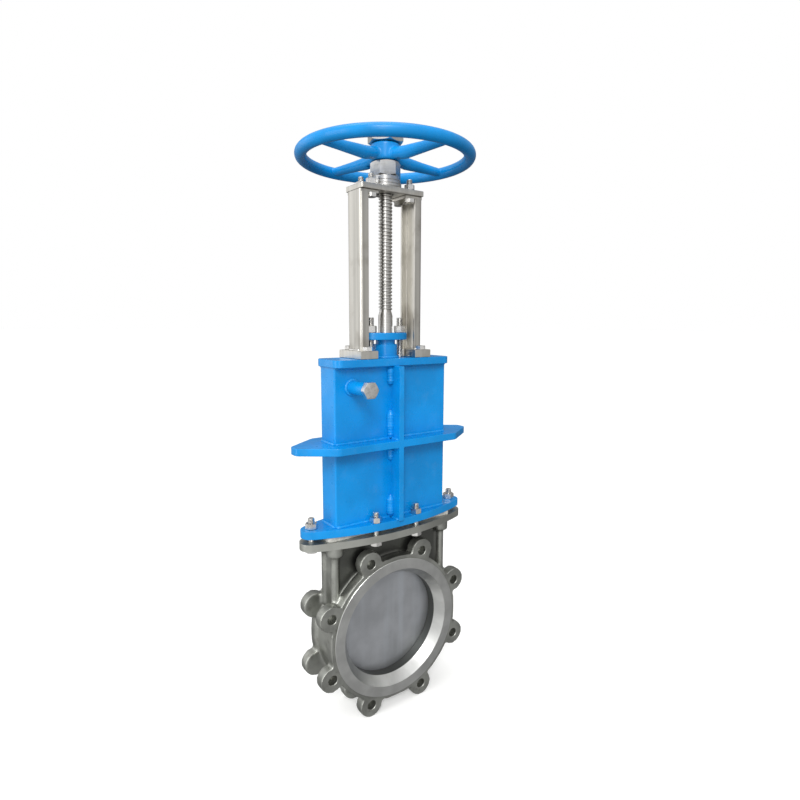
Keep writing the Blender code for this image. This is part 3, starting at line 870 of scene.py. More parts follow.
@dataclass
class ValveBody:
    """Cast body with two lugged rings, and the seat ring in it."""

    face_y: float = 42.5
    lug_y: float = 41.0
    lug_t: float = 18.0
    bore_r: float = 100.0
    mouth_r: float = 112.0
    mouth_y: float = 24.0
    raised_r: float = 132.0
    raised_edge: float = 0.9
    disc_r: float = 139.0
    shell_r: float = 134.0
    pcd_r: float = 147.5
    lug_r: float = 23.0
    tap_r: float = 8.8
    lugs: int = 8
    neck: Point = (121.0, 13.0)
    column: Point = (7.5, 17.0)
    boss_r: float = 15.0
    flange_z: Point = (177.0, 190.0)
    flange: tuple[float, float, float] = (49.0, 153.0, 21.0)
    seat_r: float = 107.3
    slot_y: float = 5.6
    bolt_hole_r: float = 6.3
    grain: float = 2.4
    bolts: Sequence[Point] = field(default_factory=list)

    def lug_centres(self) -> list[Point]:
        """Centres of the lugs as (x, z)."""
        angles = [radians(22.5) + tau * k / self.lugs for k in range(self.lugs)]
        return [(self.pcd_r * cos(a), self.pcd_r * sin(a)) for a in angles]

    def rough(self) -> Solid:
        """The casting before machining, with stock left on its faces."""
        inner = self.lug_y - self.lug_t
        profile = [(0, -self.lug_y), (self.disc_r, -self.lug_y), (self.disc_r, -inner)]
        profile += [(self.shell_r, 3 - inner)]
        profile += [(radius, -height) for radius, height in profile[::-1]]
        shape = Solid.turned(profile, 128, Axis.Y)
        half_x, half_y = self.neck
        low, high = self.flange_z
        shape.join(Solid.block((-half_x, half_x), (-half_y, half_y), (20, high - 6)))
        width, end_x, end_r = self.flange
        shape.join(Solid.plate(lens(width - 3, end_x - 3, end_r - 3), low + 2, high - 2))
        rib_r, rib_y = self.column
        for sx in SIDES:
            for sy in SIDES:
                at = (sx * (half_x - 3), sy * rib_y)
                shape.join(Solid.bar(rib_r, 60, low + 2, at, 24),
                           Solid.bar(self.boss_r, low - 17, low + 3, at))
        for x, z in self.lug_centres():
            for side in SIDES:
                span = sorted((side * (inner - 2), side * self.lug_y))
                shape.join(Solid.bar(self.lug_r, *span, at=(x, z), axis=Axis.Y))
        return shape.cast(self.grain * (1), 4)

    def build(self) -> None:
        """Machine the casting and fit the seat ring."""
        face, bore, mouth = self.face_y, self.bore_r, self.mouth_r
        gate, seat = Limits.of("gate"), Limits.of("seat_ring")
        shape = self.rough()
        spot = self.lug_y - 0.5
        for side in SIDES:
            shape.cut(Solid.block((-200, 200), sorted((side * spot, side * (face + 20))), (-200, 175)))
        ease = self.raised_edge
        edge = [(0, -face), (self.raised_r - ease, -face), (self.raised_r, ease - face)]
        edge += [(radius, -height) for radius, height in edge[::-1]]
        shape.join(Solid.turned(edge, 160, Axis.Y))
        low, high = self.flange_z
        shape.join(Solid.plate(lens(*self.flange), low, high + 2).eased(2.2, 3))
        shape.cut(Solid.block((-250, 250), (-60, 60), (high, 260)))
        port = [(0, -face - 1), (mouth + 1.5, -face - 1), (mouth + 0.6, -face), (mouth, -face + 1),
                (bore, -self.mouth_y), (bore, 4), (self.seat_r, 4), (self.seat_r, seat.high.y + GAP),
                (bore, seat.high.y + GAP), (bore, self.mouth_y), (mouth, face - 1), (mouth + 0.6, face),
                (mouth + 1.5, face + 1), (0, face + 1)]
        shape.cut(Solid.turned(port, 160, Axis.Y))
        shape.cut(gate_plate(gate.high.x + 1.2, self.slot_y, 4.0, 200))
        for x, z in self.lug_centres():
            for side in SIDES:
                deep, top = self.lug_y - self.lug_t + 1, self.lug_y
                tap = [(0, deep), (self.tap_r, deep), (self.tap_r, top - 1.2), (self.tap_r + 1.6, top + 0.4),
                       (self.tap_r + 1.6, top + 2), (0, top + 2)]
                tool = Solid.turned([(r, side * y) for r, y in tap], 40, Axis.Y)
                shape.cut(tool.shift(x, 0, z))
        for x, y in self.bolts:
            shape.cut(Solid.bar(self.bolt_hole_r, 165, 200, (x, y), 32))
        shape.placed("valve_body_casting", Body.FRAME, "cast_steel", CASTING, "valve_body", sharp=32)
        low, high = seat.low.y, seat.high.y
        outer = self.seat_r - GAP
        ring = Solid.turned([(bore, low), (outer, low), (outer, high), (bore, high)], 160, Axis.Y).eased(0.4)
        ring.placed("seat_ring_turned", Body.FRAME, "seal", SEAL, "seat_ring")


def gate_plate(half_x: float, half_y: float, arc_z: float, top: float) -> Solid:
    """Straight-sided plate with a half-round lower end, standing across the flow."""
    line = Outline(half_x, arc_z).line(half_x, top).line(-half_x, top).line(-half_x, arc_z)
    line.arc(0, arc_z, 180, 72)
    return Solid.plate(line, -half_y, half_y, Axis.Y)


# ----------------------------------------------------------------------- bonnet


@dataclass
class WeldRun:
    """A fillet bead with a rippled skin."""

    leg: float = 5.0
    ripple: float = 3.2
    sides: int = 8
    body: float = 0.62
    proud: Point = (0.22, 0.2)

    def along(self, start: Vector, end: Vector, way: Vector) -> Solid:
        """Lay a straight bead.

        Args:
            start: one end of the corner that it fills.
            end: the other end.
            way: direction from the corner into the open.

        Returns:
            The bead.
        """
        run = end - start
        count = max(4, round(run.length / self.ripple * 3))
        ahead = run.normalized()
        side = way.normalized()
        basis = Matrix((ahead.cross(side), side, ahead)).transposed().to_4x4()
        bead = Solid()
        bmesh.ops.create_circle(bead.bm, cap_ends=True, segments=self.sides, radius=self.leg * self.body)
        bmesh.ops.spin(bead.bm, geom=bead.bm.verts[:] + bead.bm.edges[:] + bead.bm.faces[:], cent=(0, 0, 0),
                       axis=(0, 0, 1), dvec=(0, 0, run.length / count), angle=0, steps=count)
        for vert in bead.bm.verts:
            wave = self._swell(vert.co.z, run.length, start)
            vert.co.x *= wave
            vert.co.y *= wave
        bead.tidy()
        bead.bm.transform(Matrix.Translation(start + side * self.leg * self.proud[0]) @ basis)
        return bead

    def around(self, radius: float, at: Vector, axis: Axis) -> Solid:
        """Lay a ring bead round a bar that stands on a plate."""
        bead = Solid()
        core_r = radius + self.leg * self.proud[1]
        ring = Matrix.Translation((core_r, 0, 0)) @ Matrix.Rotation(pi / 2, 4, "X")
        bmesh.ops.create_circle(bead.bm, segments=self.sides, radius=self.leg * self.body, matrix=ring)
        steps = round(tau * radius / self.ripple * 3)
        bmesh.ops.spin(bead.bm, geom=bead.bm.verts[:] + bead.bm.edges[:], cent=(0, 0, 0), axis=(0, 0, 1),
                       dvec=(0, 0, 0), angle=tau, steps=steps, use_merge=True)
        for vert in bead.bm.verts:
            flat = Vector((vert.co.x, vert.co.y, 0))
            core = flat.normalized() * core_r
            arc = atan2(flat.y, flat.x) * radius
            vert.co = core + (vert.co - core) * self._swell(arc, None, at)
        bead.tidy().laid(axis)
        return bead.shift(*at)

    def _swell(self, along: float, length: float | None, seed: Vector) -> float:
        """Thickness of the bead at a place along it, with crescents, wander and closed ends.

        Args:
            along: distance from the start.
            length: length of the bead, or None for a ring, which has no ends.
            seed: a place that sets the wander.

        Returns:
            A factor on the bead's radius.
        """
        crest = abs(sin(pi * along / self.ripple))
        wander = noise.noise(Vector((along * 0.09, seed.x * 0.37 + seed.z * 0.11, seed.y * 0.23)))
        close = 1.0
        if length is not None:
            close = min(1.0, 0.45 + min(along, max(0.0, length - along)) / self.leg)
        return (0.86 + 0.13 * crest + 0.22 * wander) * close


@dataclass
class Bonnet:
    """Welded bonnet: box, flanges, ribs, girth plate, stuffing box and purge stub."""

    box: Point = (118.5, 25.0)
    wall: float = 6.0
    lower_z: Point = (198.0, 212.0)
    upper_z: Point = (489.0, 502.0)
    upper: tuple[float, float, float] = (121.0, 38.0, 14.0)
    flange: tuple[float, float, float] = (49.0, 153.0, 19.0)
    rib_t: float = 10.0
    rib_y: float = 53.0
    girth_z: Point = (345.0, 358.0)
    girth_tip: Point = (184.0, 10.0)
    purge: tuple[float, float, float, float] = (-84.0, 455.0, 11.5, 75.0)
    stuffing_r: float = 21.0
    packing_r: float = 17.6
    rim_z: float = 526.0
    bolt_hole_r: float = 6.3
    screw_hole_r: float = 5.3
    bolts: Sequence[Point] = field(default_factory=list)
    weld: WeldRun = field(default_factory=WeldRun)
    stitch: WeldRun = field(default_factory=lambda: WeldRun(12.5, 5.0, 12))

    def girth(self) -> Solid:
        """Stiffening plate with an ear at each end."""
        tip_x, tip_y = self.girth_tip
        side_x = self.box[0] + 6
        line = Outline(side_x, -self.rib_y).line(tip_x, -tip_y).line(tip_x, tip_y).line(side_x, self.rib_y)
        line.line(-side_x, self.rib_y).line(-tip_x, tip_y).line(-tip_x, -tip_y).line(-side_x, -self.rib_y)
        plate = Solid.plate(line, *self.girth_z)
        return plate.round_corners(5, upright, 4).eased(1.2)

    def shell(self) -> Solid:
        """The plates before any hole is cut."""
        (bx, by), (low, top) = self.box, (self.lower_z[1], self.upper_z[0])
        shape = Solid.block((-bx, bx), (-by, by), (low - 4, top + 4)).round_corners(3, upright, 4)
        shape.join(Solid.plate(lens(*self.flange), *self.lower_z).eased(1.2),
                   Solid.plate(rectangle(*self.upper), *self.upper_z).eased(1.2), self.girth())
        rib = Solid.block((-self.rib_t / 2, self.rib_t / 2), (-self.rib_y, self.rib_y), (low - 2, top + 2))
        for side in SIDES:
            over = (side * (self.upper[1] - 0.5), side * (self.rib_y + 5))
            rib.cut(Solid.block((-9, 9), over, (top - 0.5, top + 9)))
        shape.join(rib.eased(1.0))
        x, z, radius, reach = self.purge
        shape.join(Solid.bar(radius, -reach, 3 - by, (x, z), 64, Axis.Y).eased(1.2))
        return shape.join(Solid.bar(self.stuffing_r, self.upper_z[1] - 4, self.rim_z, steps=72).eased(1.2))

    def build(self) -> None:
        """Cut the hollows, lay the beads and place both."""
        shape = self.shell()
        (bx, by), wall = self.box, self.wall
        stem = Limits.of("stem").high.x + 0.75
        shape.cut(Solid.block((wall - bx, bx - wall), (wall - by, by - wall), (190, self.upper_z[0])))
        pack_z = Limits.of("packing_ring_1").low.z - GAP
        bore = [(0, 480), (stem, 480), (stem, pack_z), (self.packing_r, pack_z), (self.packing_r, 530)]
        bore.append((0, 530))
        shape.cut(Solid.turned(bore, 72))
        x, z, _, reach = self.purge
        shape.cut(Solid.bar(7, -reach - 5, wall + 3 - by, (x, z), 32, Axis.Y))
        for at in self.bolts:
            shape.cut(Solid.bar(self.bolt_hole_r, 190, 220, at, 32))
        for side, _ in HANDS:
            self._tap(shape, f"gland_stud_{side}", self.bolt_hole_r)
        for side, _ in HANDS:
            for end in ENDS:
                self._tap(shape, f"foot_screw_{side}_{end}", self.screw_hole_r)
        shape.placed("bonnet_weldment", Body.FRAME, "blue_paint", BLUE, "bonnet")
        self.beads().placed("bonnet_weld_beads", Body.FRAME, "blue_paint", BLUE, sharp=60)

    def _tap(self, shape: Solid, node: str, radius: float) -> None:
        """Cut the hole that a fastener sits in."""
        centre, top = Limits.of(node).centre, self.upper_z[1]
        shape.cut(Solid.bar(radius, top - 10, top + 4, (centre.x, centre.y), 24))

    def beads(self) -> Solid:
        """Every weld bead of the bonnet, as one set of closed runs."""
        (bx, by), leg = self.box, self.weld.leg
        low, high = self.lower_z[1], self.upper_z[0]
        g0, g1 = self.girth_z
        half, rib = self.rib_t / 2, self.rib_y
        out = Solid()
        stitches = ((low + 1, low + 42), (g0 - 26, g0 - 1), (g1 + 1, g1 + 52), (high - 34, high - 1))
        for sy in SIDES:
            for sx in SIDES:
                for z0, z1 in stitches:
                    ends = (Vector((sx * half, sy * by, z)) for z in (z0, z1))
                    out.add(self.stitch.along(*ends, Vector((sx, sy, 0))))
                for z, up in ((low, 1), (g0, -1), (g1, 1)):
                    ends = (Vector((sx * half, sy * y, z)) for y in (by + leg, rib - 2))
                    out.add(self.weld.along(*ends, Vector((sx, 0, up))))
                seams = ((g1, 1, 1, bx - 1), (g0, -1, 1, bx - 1), (high, -1, 1, bx - 1), (g1, 1, 2, 44),
                         (low, 1, 1, bx - 1))
                for z, up, near, far in seams:
                    ends = (Vector((sx * x, sy * by, z)) for x in (half + near, far))
                    out.add(self.weld.along(*ends, Vector((0, sy, up))))
        for sx in SIDES:
            for z, up in ((low, 1), (g0, -1), (g1, 1)):
                ends = (Vector((sx * bx, y, z)) for y in (2 - by, by - 2))
                out.add(self.weld.along(*ends, Vector((sx, 0, up))))
        x, z, radius, _ = self.purge
        out.add(self.weld.around(radius, Vector((x, -by - 1.0, z)), Axis.Y))
        out.add(self.weld.around(self.stuffing_r, Vector((0, 0, self.upper_z[1] + 1.0)), Axis.Z))
        return out


@dataclass
class PurgePlug:
    """Hexagon plug in the purge stub."""

    across: float = 26.0
    spigot_r: float = 6.7
    head_low: float = 75.3

    def build(self) -> None:
        """Turn the plug along Y and place it."""
        box = Limits.of("purge_plug")
        x, z = box.centre.x, box.centre.z
        face, end = -box.high.y, -box.low.y
        head_low, inner, outer = self.head_low, self.across * 0.44, self.across * 0.47
        plug = HEX.blank(self.across, head_low + 1.2, end, 30, (True, True))
        collar = Solid.turned([(0, head_low), (inner, head_low), (outer, head_low + 0.6),
                               (outer, head_low + 2), (0, head_low + 2)], 48)
        plug.join(collar, Solid.bar(self.spigot_r, face, head_low + 2, steps=32))
        plug.laid(Axis.Y)
        plug.bm.transform(Matrix.Diagonal((1, -1, 1, 1)))
        plug.tidy().shift(x, 0, z)
        fitted(plug, "purge_plug_hex", "purge_plug")


# -------------------------------------------------------------------- fasteners


@dataclass
class FlangeJoint:
    """Bolts and nuts through the flange pair."""

    across: float = 19.0
    radius: float = 6.0
    pitch: float = 1.75
    count: int = 6
    seat_z: float = 177.0

    def build(self) -> None:
        """Make each bolt with its head below, and each nut."""
        for number in range(1, self.count + 1):
            box, nut = Limits.of(f"flange_bolt_{number}"), Limits.of(f"flange_nut_{number}")
            centre, turn = box.centre, 11 * number
            seat, grip = self.seat_z - GAP, nut.low.z - 4
            bolt = HEX.blank(self.across, box.low.z, seat, turn, (True, False))
            bolt.join(Solid.bar(self.radius - 0.1, seat - 1, grip, steps=32))
            bolt.join(metric_end(self.radius, grip - 0.5, box.high.z, self.pitch))
            bolt.shift(centre.x, centre.y, 0)
            fitted(bolt, f"flange_bolt_hex_{number}", f"flange_bolt_{number}")
            ring = HEX.nut(self.across, *nut.z, self.radius + 0.25, turn * 2)
            ring.shift(centre.x, centre.y, 0)
            fitted(ring, f"flange_nut_hex_{number}", f"flange_nut_{number}")


@dataclass
class Gland:
    """Gland follower that presses the packing, with its studs and nuts."""

    flange: tuple[float, float, float] = (24.0, 31.0, 13.0)
    flange_z: Point = (533.5, 546.0)
    follower_r: float = 17.3
    across: float = 19.0
    radius: float = 6.0
    pitch: float = 1.75

    def build(self) -> None:
        """Make the follower, studs and nuts."""
        box = Limits.of("gland")
        low, high = self.flange_z
        hole = Limits.of("stem").high.x + 0.4
        part = Solid.plate(lens(*self.flange, 24), low, high).eased(1.5, 3)
        part.join(Solid.bar(self.follower_r, box.low.z, low + 3, steps=72))
        mouth = [(0, box.low.z - 1), (hole, box.low.z - 1), (hole, high - 2), (hole + 3, high + 1)]
        mouth.append((0, high + 1))
        part.cut(Solid.turned(mouth, 72))
        for x in (-self.flange[1], self.flange[1]):
            part.cut(Solid.bar(self.radius + GAP, low - 2, high + 2, (x, 0), 32))
        part.placed("gland_follower", Body.FRAME, "blue_paint", BLUE, "gland")
        for side, turn in (("left", 12), ("right", 38)):
            stud, nut = Limits.of(f"gland_stud_{side}"), Limits.of(f"gland_nut_{side}")
            x = stud.centre.x
            bar = metric_end(self.radius, *stud.z, self.pitch).shift(x, 0, 0)
            fitted(bar, f"gland_stud_screwed_{side}", f"gland_stud_{side}")
            ring = HEX.nut(self.across, *nut.z, self.radius + 0.25, turn).shift(x, 0, 0)
            fitted(ring, f"gland_nut_hex_{side}", f"gland_nut_{side}")


# ------------------------------------------------------------------------- yoke


@dataclass
class Yoke:
    """Two bent channel posts on foot plates, under a thick plate."""

    foot_x: Point = (39.0, 74.0)
    foot_y: float = 37.5
    foot_z: Point = (502.3, 516.0)
    post_x: float = 64.0
    post_y: float = 22.0
    flange: float = 16.0
    sheet: float = 4.0
    bend: float = 5.0
    tab_x: float = 28.0
    tab_t: float = 5.0
    plate: tuple[float, float, float] = (64.0, 27.0, 3.0)
    plate_z: Point = (784.0, 793.0)
    screw_r: float = 5.0
    across: float = 16.0
    pitch: float = 1.5
    weld: WeldRun = field(default_factory=lambda: WeldRun(4.0, 2.6))

    def channel(self, low: float, high: float) -> Solid:
        """One bent channel, open towards the stem, for the right side."""
        x0, x1, y, t = self.post_x - self.flange, self.post_x, self.post_y, self.sheet
        line = Outline(x0, -y).line(x1, -y).line(x1, y).line(x0, y)
        line.line(x0, y - t).line(x1 - t, y - t).line(x1 - t, t - y).line(x0, t - y)
        shape = Solid.plate(line, low, high)
        corners = {x1: self.bend, x1 - t: self.bend - t}
        for x, radius in corners.items():
            shape.round_corners(radius, lambda edge: upright(edge) and abs(edge.verts[0].co.x - x) < 0.01, 5)
        return shape.eased(0.4, 1, 60)

    def build(self) -> None:
        """Make the posts, screws, plate and bolts."""
        for side, sx in HANDS:
            self._post(side, sx)
            for end in ENDS:
                self._foot_screw(f"{side}_{end}")
                self._yoke_bolt(f"{side}_{end}")
        low, high = self.plate_z
        top = Solid.plate(rectangle(*self.plate, 4), low, high).eased(0.9)
        stem = Limits.of("stem").high.x + 1.5
        top.cut(Solid.bar(stem, low - 2, high + 2, steps=64))
        for side, _ in HANDS:
            for end in ENDS:
                centre = Limits.of(f"yoke_bolt_{side}_{end}").centre
                top.cut(Solid.bar(self.screw_r + GAP, low - 2, high + 2, (centre.x, centre.y), 32))
        top.placed("yoke_top_plate", Body.FRAME, "yoke_steel", SHEET, "yoke_plate")

    def _post(self, side: str, sx: int) -> None:
        """One post with its foot, its top tab and the welds between them."""
        (f0, f1), (z0, z1) = self.foot_x, self.foot_z
        top = self.plate_z[0] - GAP
        foot = Solid.block((f0, f1), (-self.foot_y, self.foot_y), (z0, z1)).eased(1.0)
        tab = Solid.block((self.tab_x, self.post_x - 1), (-self.post_y, self.post_y), (top - self.tab_t, top))
        shape = foot.join(self.channel(z1 - 2, top), tab.eased(0.6))
        for kind, low, high in (("foot_screw", 495, 520), ("yoke_bolt", 770, 800)):
            for end in ENDS:
                centre = Limits.of(f"{kind}_right_{end}").centre
                shape.cut(Solid.bar(self.screw_r + GAP, low, high, (centre.x, centre.y), 32))
        beads = self._beads(z1, top - self.tab_t)
        if sx < 0:
            for part in (shape, beads):
                part.bm.transform(Matrix.Diagonal((-1, 1, 1, 1)))
        shape.placed(f"yoke_post_bent_{side}", Body.FRAME, "yoke_steel", SHEET, f"yoke_post_{side}")
        beads.placed(f"yoke_post_welds_{side}", Body.FRAME, "yoke_steel", BRIGHT, sharp=60)

    def _beads(self, foot_top: float, tab_low: float) -> Solid:
        """Fillets round the foot of the right post, and under its tab."""
        x0, x1, y, t = self.post_x - self.flange, self.post_x, self.post_y, self.sheet
        out = Solid()
        ends = (Vector((x1, at, foot_top)) for at in (5 - y, y - 5))
        out.add(self.weld.along(*ends, Vector((1, 0, 1))))
        for sy in SIDES:
            for at, z, way in ((y, foot_top, 1), (y - t, tab_low, -1)):
                ends = (Vector((x, sy * at, z)) for x in (x0 + 1, x1 - t))
                out.add(self.weld.along(*ends, Vector((0, way * sy, way))))
        return out

    def _foot_screw(self, where: str) -> None:
        """A hexagon screw that holds a foot plate down."""
        box = Limits.of(f"foot_screw_{where}")
        seat = self.foot_z[1] + GAP
        head = HEX.blank(self.across, seat, box.high.z, 17, (False, True))
        head.join(Solid.bar(self.screw_r - 0.05, box.low.z, seat + 1, steps=32))
        head.shift(box.centre.x, box.centre.y, 0)
        fitted(head, f"foot_screw_hex_{where}", f"foot_screw_{where}")

    def _yoke_bolt(self, where: str) -> None:
        """A bolt through the tab and the plate, with its nut on top."""
        box, nut = Limits.of(f"yoke_bolt_{where}"), Limits.of(f"yoke_nut_{where}")
        centre, seat = box.centre, self.plate_z[0] - self.tab_t - GAP
        bolt = HEX.blank(self.across, box.low.z, seat, 30, (True, False))
        bolt.join(Solid.bar(self.screw_r - 0.1, seat - 1, nut.low.z - 1, steps=32))
        bolt.join(metric_end(self.screw_r, nut.low.z - 1.5, box.high.z, self.pitch))
        bolt.shift(centre.x, centre.y, 0)
        fitted(bolt, f"yoke_bolt_hex_{where}", f"yoke_bolt_{where}")
        ring = HEX.nut(self.across, *nut.z, self.screw_r + 0.25, 12).shift(centre.x, centre.y, 0)
        fitted(ring, f"yoke_nut_hex_{where}", f"yoke_nut_{where}")


@dataclass
class BearingHead:
    """Bearing housing on the yoke plate and the hexagon cap that closes it."""

    outer_r: float = 26.0
    base_r: float = 25.0
    bore_r: float = 22.5
    across: float = 46.0
    nut_r: float = 17.0

    def build(self) -> None:
        """Turn the housing and the cap."""
        house, cap = Limits.of("bearing_housing"), Limits.of("bearing_cap")
        base, top = house.z
        stem, floor = Limits.of("stem").high.x + 0.75, base + 1.7
        outer = self.outer_r
        wall = [(stem, base), (self.base_r - 0.5, base), (self.base_r, base + 0.5), (self.base_r, base + 1.5)]
        wall += [(outer - 0.6, base + 1.5), (outer, base + 2.1)]
        for groove in (top - 14.0, top - 8.5):
            wall += [(outer, groove), (outer - 1, groove + 0.4)]
            wall += [(outer - 1, groove + 1.4), (outer, groove + 1.8)]
        wall += [(outer, top - 1), (outer - 1, top), (self.bore_r, top), (self.bore_r, floor), (stem, floor)]
        Solid.turned(wall, 96).placed("bearing_housing_turned", Body.FRAME, "yoke_steel", TURNED,
                                      "bearing_housing")
        shape = HEX.blank(self.across, top + GAP, cap.high.z, 7, (True, True))
        shape.join(Solid.bar(self.bore_r - GAP, cap.low.z, top + 5, steps=72))
        hole, low, high = self.nut_r + GAP, cap.low.z - 1, cap.high.z + 0.5
        mouth = [(0, low), (hole, low), (hole, high - 2.5), (hole + 2.5, high), (0, high)]
        shape.cut(Solid.turned(mouth, 72))
        shape.placed("bearing_cap_hex", Body.FRAME, "yoke_steel", TURNED, "bearing_cap")


# ------------------------------------------------------------------------ drive


@dataclass
class Handwheel:
    """Cast handwheel on the stem nut, held by a lock nut."""

    rim_r: float = 144.6
    tube_r: float = 10.2
    z: float = 845.0
    hub_r: float = 26.0
    hub_z: Point = (838.0, 867.0)
    spokes: int = 4
    first: float = 10.0
    key_x: float = 20.5
    key_y: float = 2.6
    nut_r: float = 17.0
    nut_bore_r: float = 12.3
    nut_flange_r: float = 21.0
    lock_across: float = 55.0
    grain: float = 1.6
    stations: Sequence[tuple[float, float, float, float]] = (
        (18.0, 12.0, 9.5, 4.0), (30.0, 11.0, 10.5, 2.0), (48.0, 10.0, 11.0, 0.0), (90.0, 9.0, 9.0, 0.2),
        (125.0, 8.6, 7.8, 0.7), (140.0, 9.0, 7.2, 1.0))

    def spoke(self, angle: float) -> Solid:
        """One tapered oval spoke, lofted through its stations and turned to an angle in degrees."""
        shape = Solid()
        rings = []
        for x, half_y, half_z, rise in self.stations:
            where = Matrix.Translation((x, 0, self.z + rise)) @ Matrix.Rotation(pi / 2, 4, "Y")
            size = Matrix.Diagonal((half_z, half_y, 1, 1))
            ring = bmesh.ops.create_circle(shape.bm, segments=28, radius=1, matrix=where @ size)
            rings.append(sorted({e for v in ring["verts"] for e in v.link_edges}, key=lambda e: e.index))
        for near, far in zip(rings, rings[1:]):
            bmesh.ops.bridge_loops(shape.bm, edges=near + far)
        ends = [edge for edge in shape.bm.edges if edge.is_boundary]
        bmesh.ops.holes_fill(shape.bm, edges=ends, sides=0)
        return shape.tidy().turn(angle)

    def wheel(self) -> Solid:
        """Rim, spokes and hub melted into one casting, with the rim trued afterwards."""
        tube = Solid()
        stand = Matrix.Translation((self.rim_r, 0, self.z)) @ Matrix.Rotation(pi / 2, 4, "X")
        bmesh.ops.create_circle(tube.bm, segments=32, radius=self.tube_r, matrix=stand)
        bmesh.ops.spin(tube.bm, geom=tube.bm.verts[:] + tube.bm.edges[:], cent=(0, 0, 0), axis=(0, 0, 1),
                       dvec=(0, 0, 0), angle=tau, steps=160, use_merge=True)
        tube.tidy()
        low, high = self.hub_z
        r = self.hub_r
        hub = Solid.turned([(0, low), (r - 2, low), (r, low + 3), (r - 0.5, high - 2), (r - 2.5, high),
                            (0, high)], 72)
        tube.join(hub, *(self.spoke(self.first + 360 * k / self.spokes) for k in range(self.spokes)))
        tube.cast(self.grain * (1), 5)
        for vert in tube.bm.verts:
            flat = Vector((vert.co.x, vert.co.y, 0))
            core = flat.normalized() * self.rim_r + Vector((0, 0, self.z))
            away = vert.co - core
            strength = 1 - min(1.0, max(0.0, abs(away.length - self.tube_r) - 0.7) / 0.7)
            if strength > 0 and flat.length > self.rim_r - self.tube_r * 1.2:
                vert.co += away.normalized() * (self.tube_r - away.length) * strength
        return tube

    def build(self) -> None:
        """Bore the wheel, and make the sleeve and the lock nut."""
        low, high = self.hub_z
        wheel = self.wheel()
        for z in ((low - 20, low), (high, high + 20)):
            wheel.cut(Solid.block((-40, 40), (-40, 40), z))
        hole = self.nut_r + GAP
        wheel.cut(Solid.turned([(0, low - 2), (hole + 3, low - 2), (hole, low + 1), (hole, high - 1),
                                (hole + 3, high + 2), (0, high + 2)], 72))
        wheel.cut(Solid.block((10, self.key_x), (-self.key_y, self.key_y), (low - 2, high + 2)))
        wheel.placed("handwheel_cast", Body.DRIVE, "blue_paint", BLUE, "handwheel", sharp=42)
        lock = Limits.of("handwheel_lock_nut")
        nut = HEX.nut(self.lock_across, *lock.z, hole, 42)
        nut.placed("handwheel_lock_nut_hex", Body.DRIVE, "yoke_steel", TURNED, "handwheel_lock_nut")
        sleeve = Limits.of("stem_nut")
        bottom, top = sleeve.z
        bore, flange, r = self.nut_bore_r, self.nut_flange_r, self.nut_r
        profile = [(bore, bottom), (r, bottom), (r, bottom + 4.5), (flange, bottom + 4.5)]
        profile += [(flange, bottom + 8.7), (r, bottom + 8.7), (r, top - 1), (r - 1, top)]
        profile += [(bore + 1.5, top), (bore, top - 1.5)]
        nut = Solid.turned(profile, 96)
        nut.cut(Solid.block((14.5, 22), (-self.key_y, self.key_y), (low - 1, top + 10)))
        nut.placed("stem_nut_sleeve", Body.DRIVE, "bronze", BRONZE, "stem_nut")


# ---------------------------------------------------------------- what rises


@dataclass
class GateSet:
    """The gate, its clevis and pins, and the rising stem."""

    thread_r: float = 12.0
    plain_r: float = 12.75
    plain_top: float = 585.0
    pitch: float = 6.0
    clevis: tuple[float, float, float] = (20.0, 15.0, 3.0)
    clevis_z: Point = (200.0, 262.0)
    gate_y: float = 5.0
    relief: float = 2.6
    thread_depth: float = 2.2
    thread_flank: float = 0.17

    def build(self) -> None:
        """Make the gate, clevis, pins and stem."""
        box = Limits.of("gate")
        gate = gate_plate(box.high.x, self.gate_y, 4.0, box.high.z)
        below = box.high.z - 1
        gate.round_corners(1.2, lambda edge: all(v.co.z < below for v in edge.verts)
                           and edge.calc_face_angle(0) > 1, 2)
        pins = [Limits.of(f"clevis_pin_{number}") for number in (1, 2)]
        holes = [Solid.bar(6.3, -20, 20, (0, pin.centre.z), 32, Axis.Y) for pin in pins]
        gate.cut(*(hole.copy() for hole in holes))
        gate.placed("gate_blade", Body.GATE_SET, "gate_steel", PLATE, "gate")
        fork = Solid.plate(rectangle(*self.clevis, 4), *self.clevis_z).eased(0.8)
        fork.cut(Solid.block((-30, 30), (-self.gate_y - GAP, self.gate_y + GAP), (190, box.high.z + GAP)))
        fork.cut(*holes)
        fork.cut(Solid.bar(self.plain_r - 2.5, 244, 270, steps=48))
        fork.placed("gate_clevis_fork", Body.GATE_SET, "stem_steel", TURNED, "gate_clevis")
        for number, pin in enumerate(pins, 1):
            bar = Solid.bar(6, pin.low.y, pin.high.y, (0, pin.centre.z), 48, Axis.Y).eased(0.8)
            fitted(bar, f"clevis_pin_turned_{number}", f"clevis_pin_{number}", Body.GATE_SET)
        self.stem()

    def stem(self) -> None:
        """The stem: plain below the chamfer, and a left-hand trapezoidal thread above it."""
        low, top = Limits.of("stem").z
        plain, r, start = self.plain_r, self.thread_r, self.plain_top
        shoulder, neck = self.clevis_z[1] + GAP, plain - self.relief
        shaft = Solid.turned([(0, low), (plain - 2.8, low), (plain - 2.8, shoulder), (plain, shoulder),
                              (plain, start - 9), (neck, start), (neck, start + 4), (0, start + 4)], 72)
        form = Solid.turned([(0, start + 1), (r, start + 1), (r, top - 2.5), (r - 2.5, top), (0, top)], 72)
        screw = Solid.thread(r, self.pitch, start + 0.5, top + 1, self.thread_depth, self.thread_flank,
                             left=True, steps=40)
        shaft.join(screw.within(form))
        shaft.placed("stem_screwed", Body.GATE_SET, "stem_steel", TURNED, "stem", sharp=30)


# ----------------------------------------------------------------------- studio


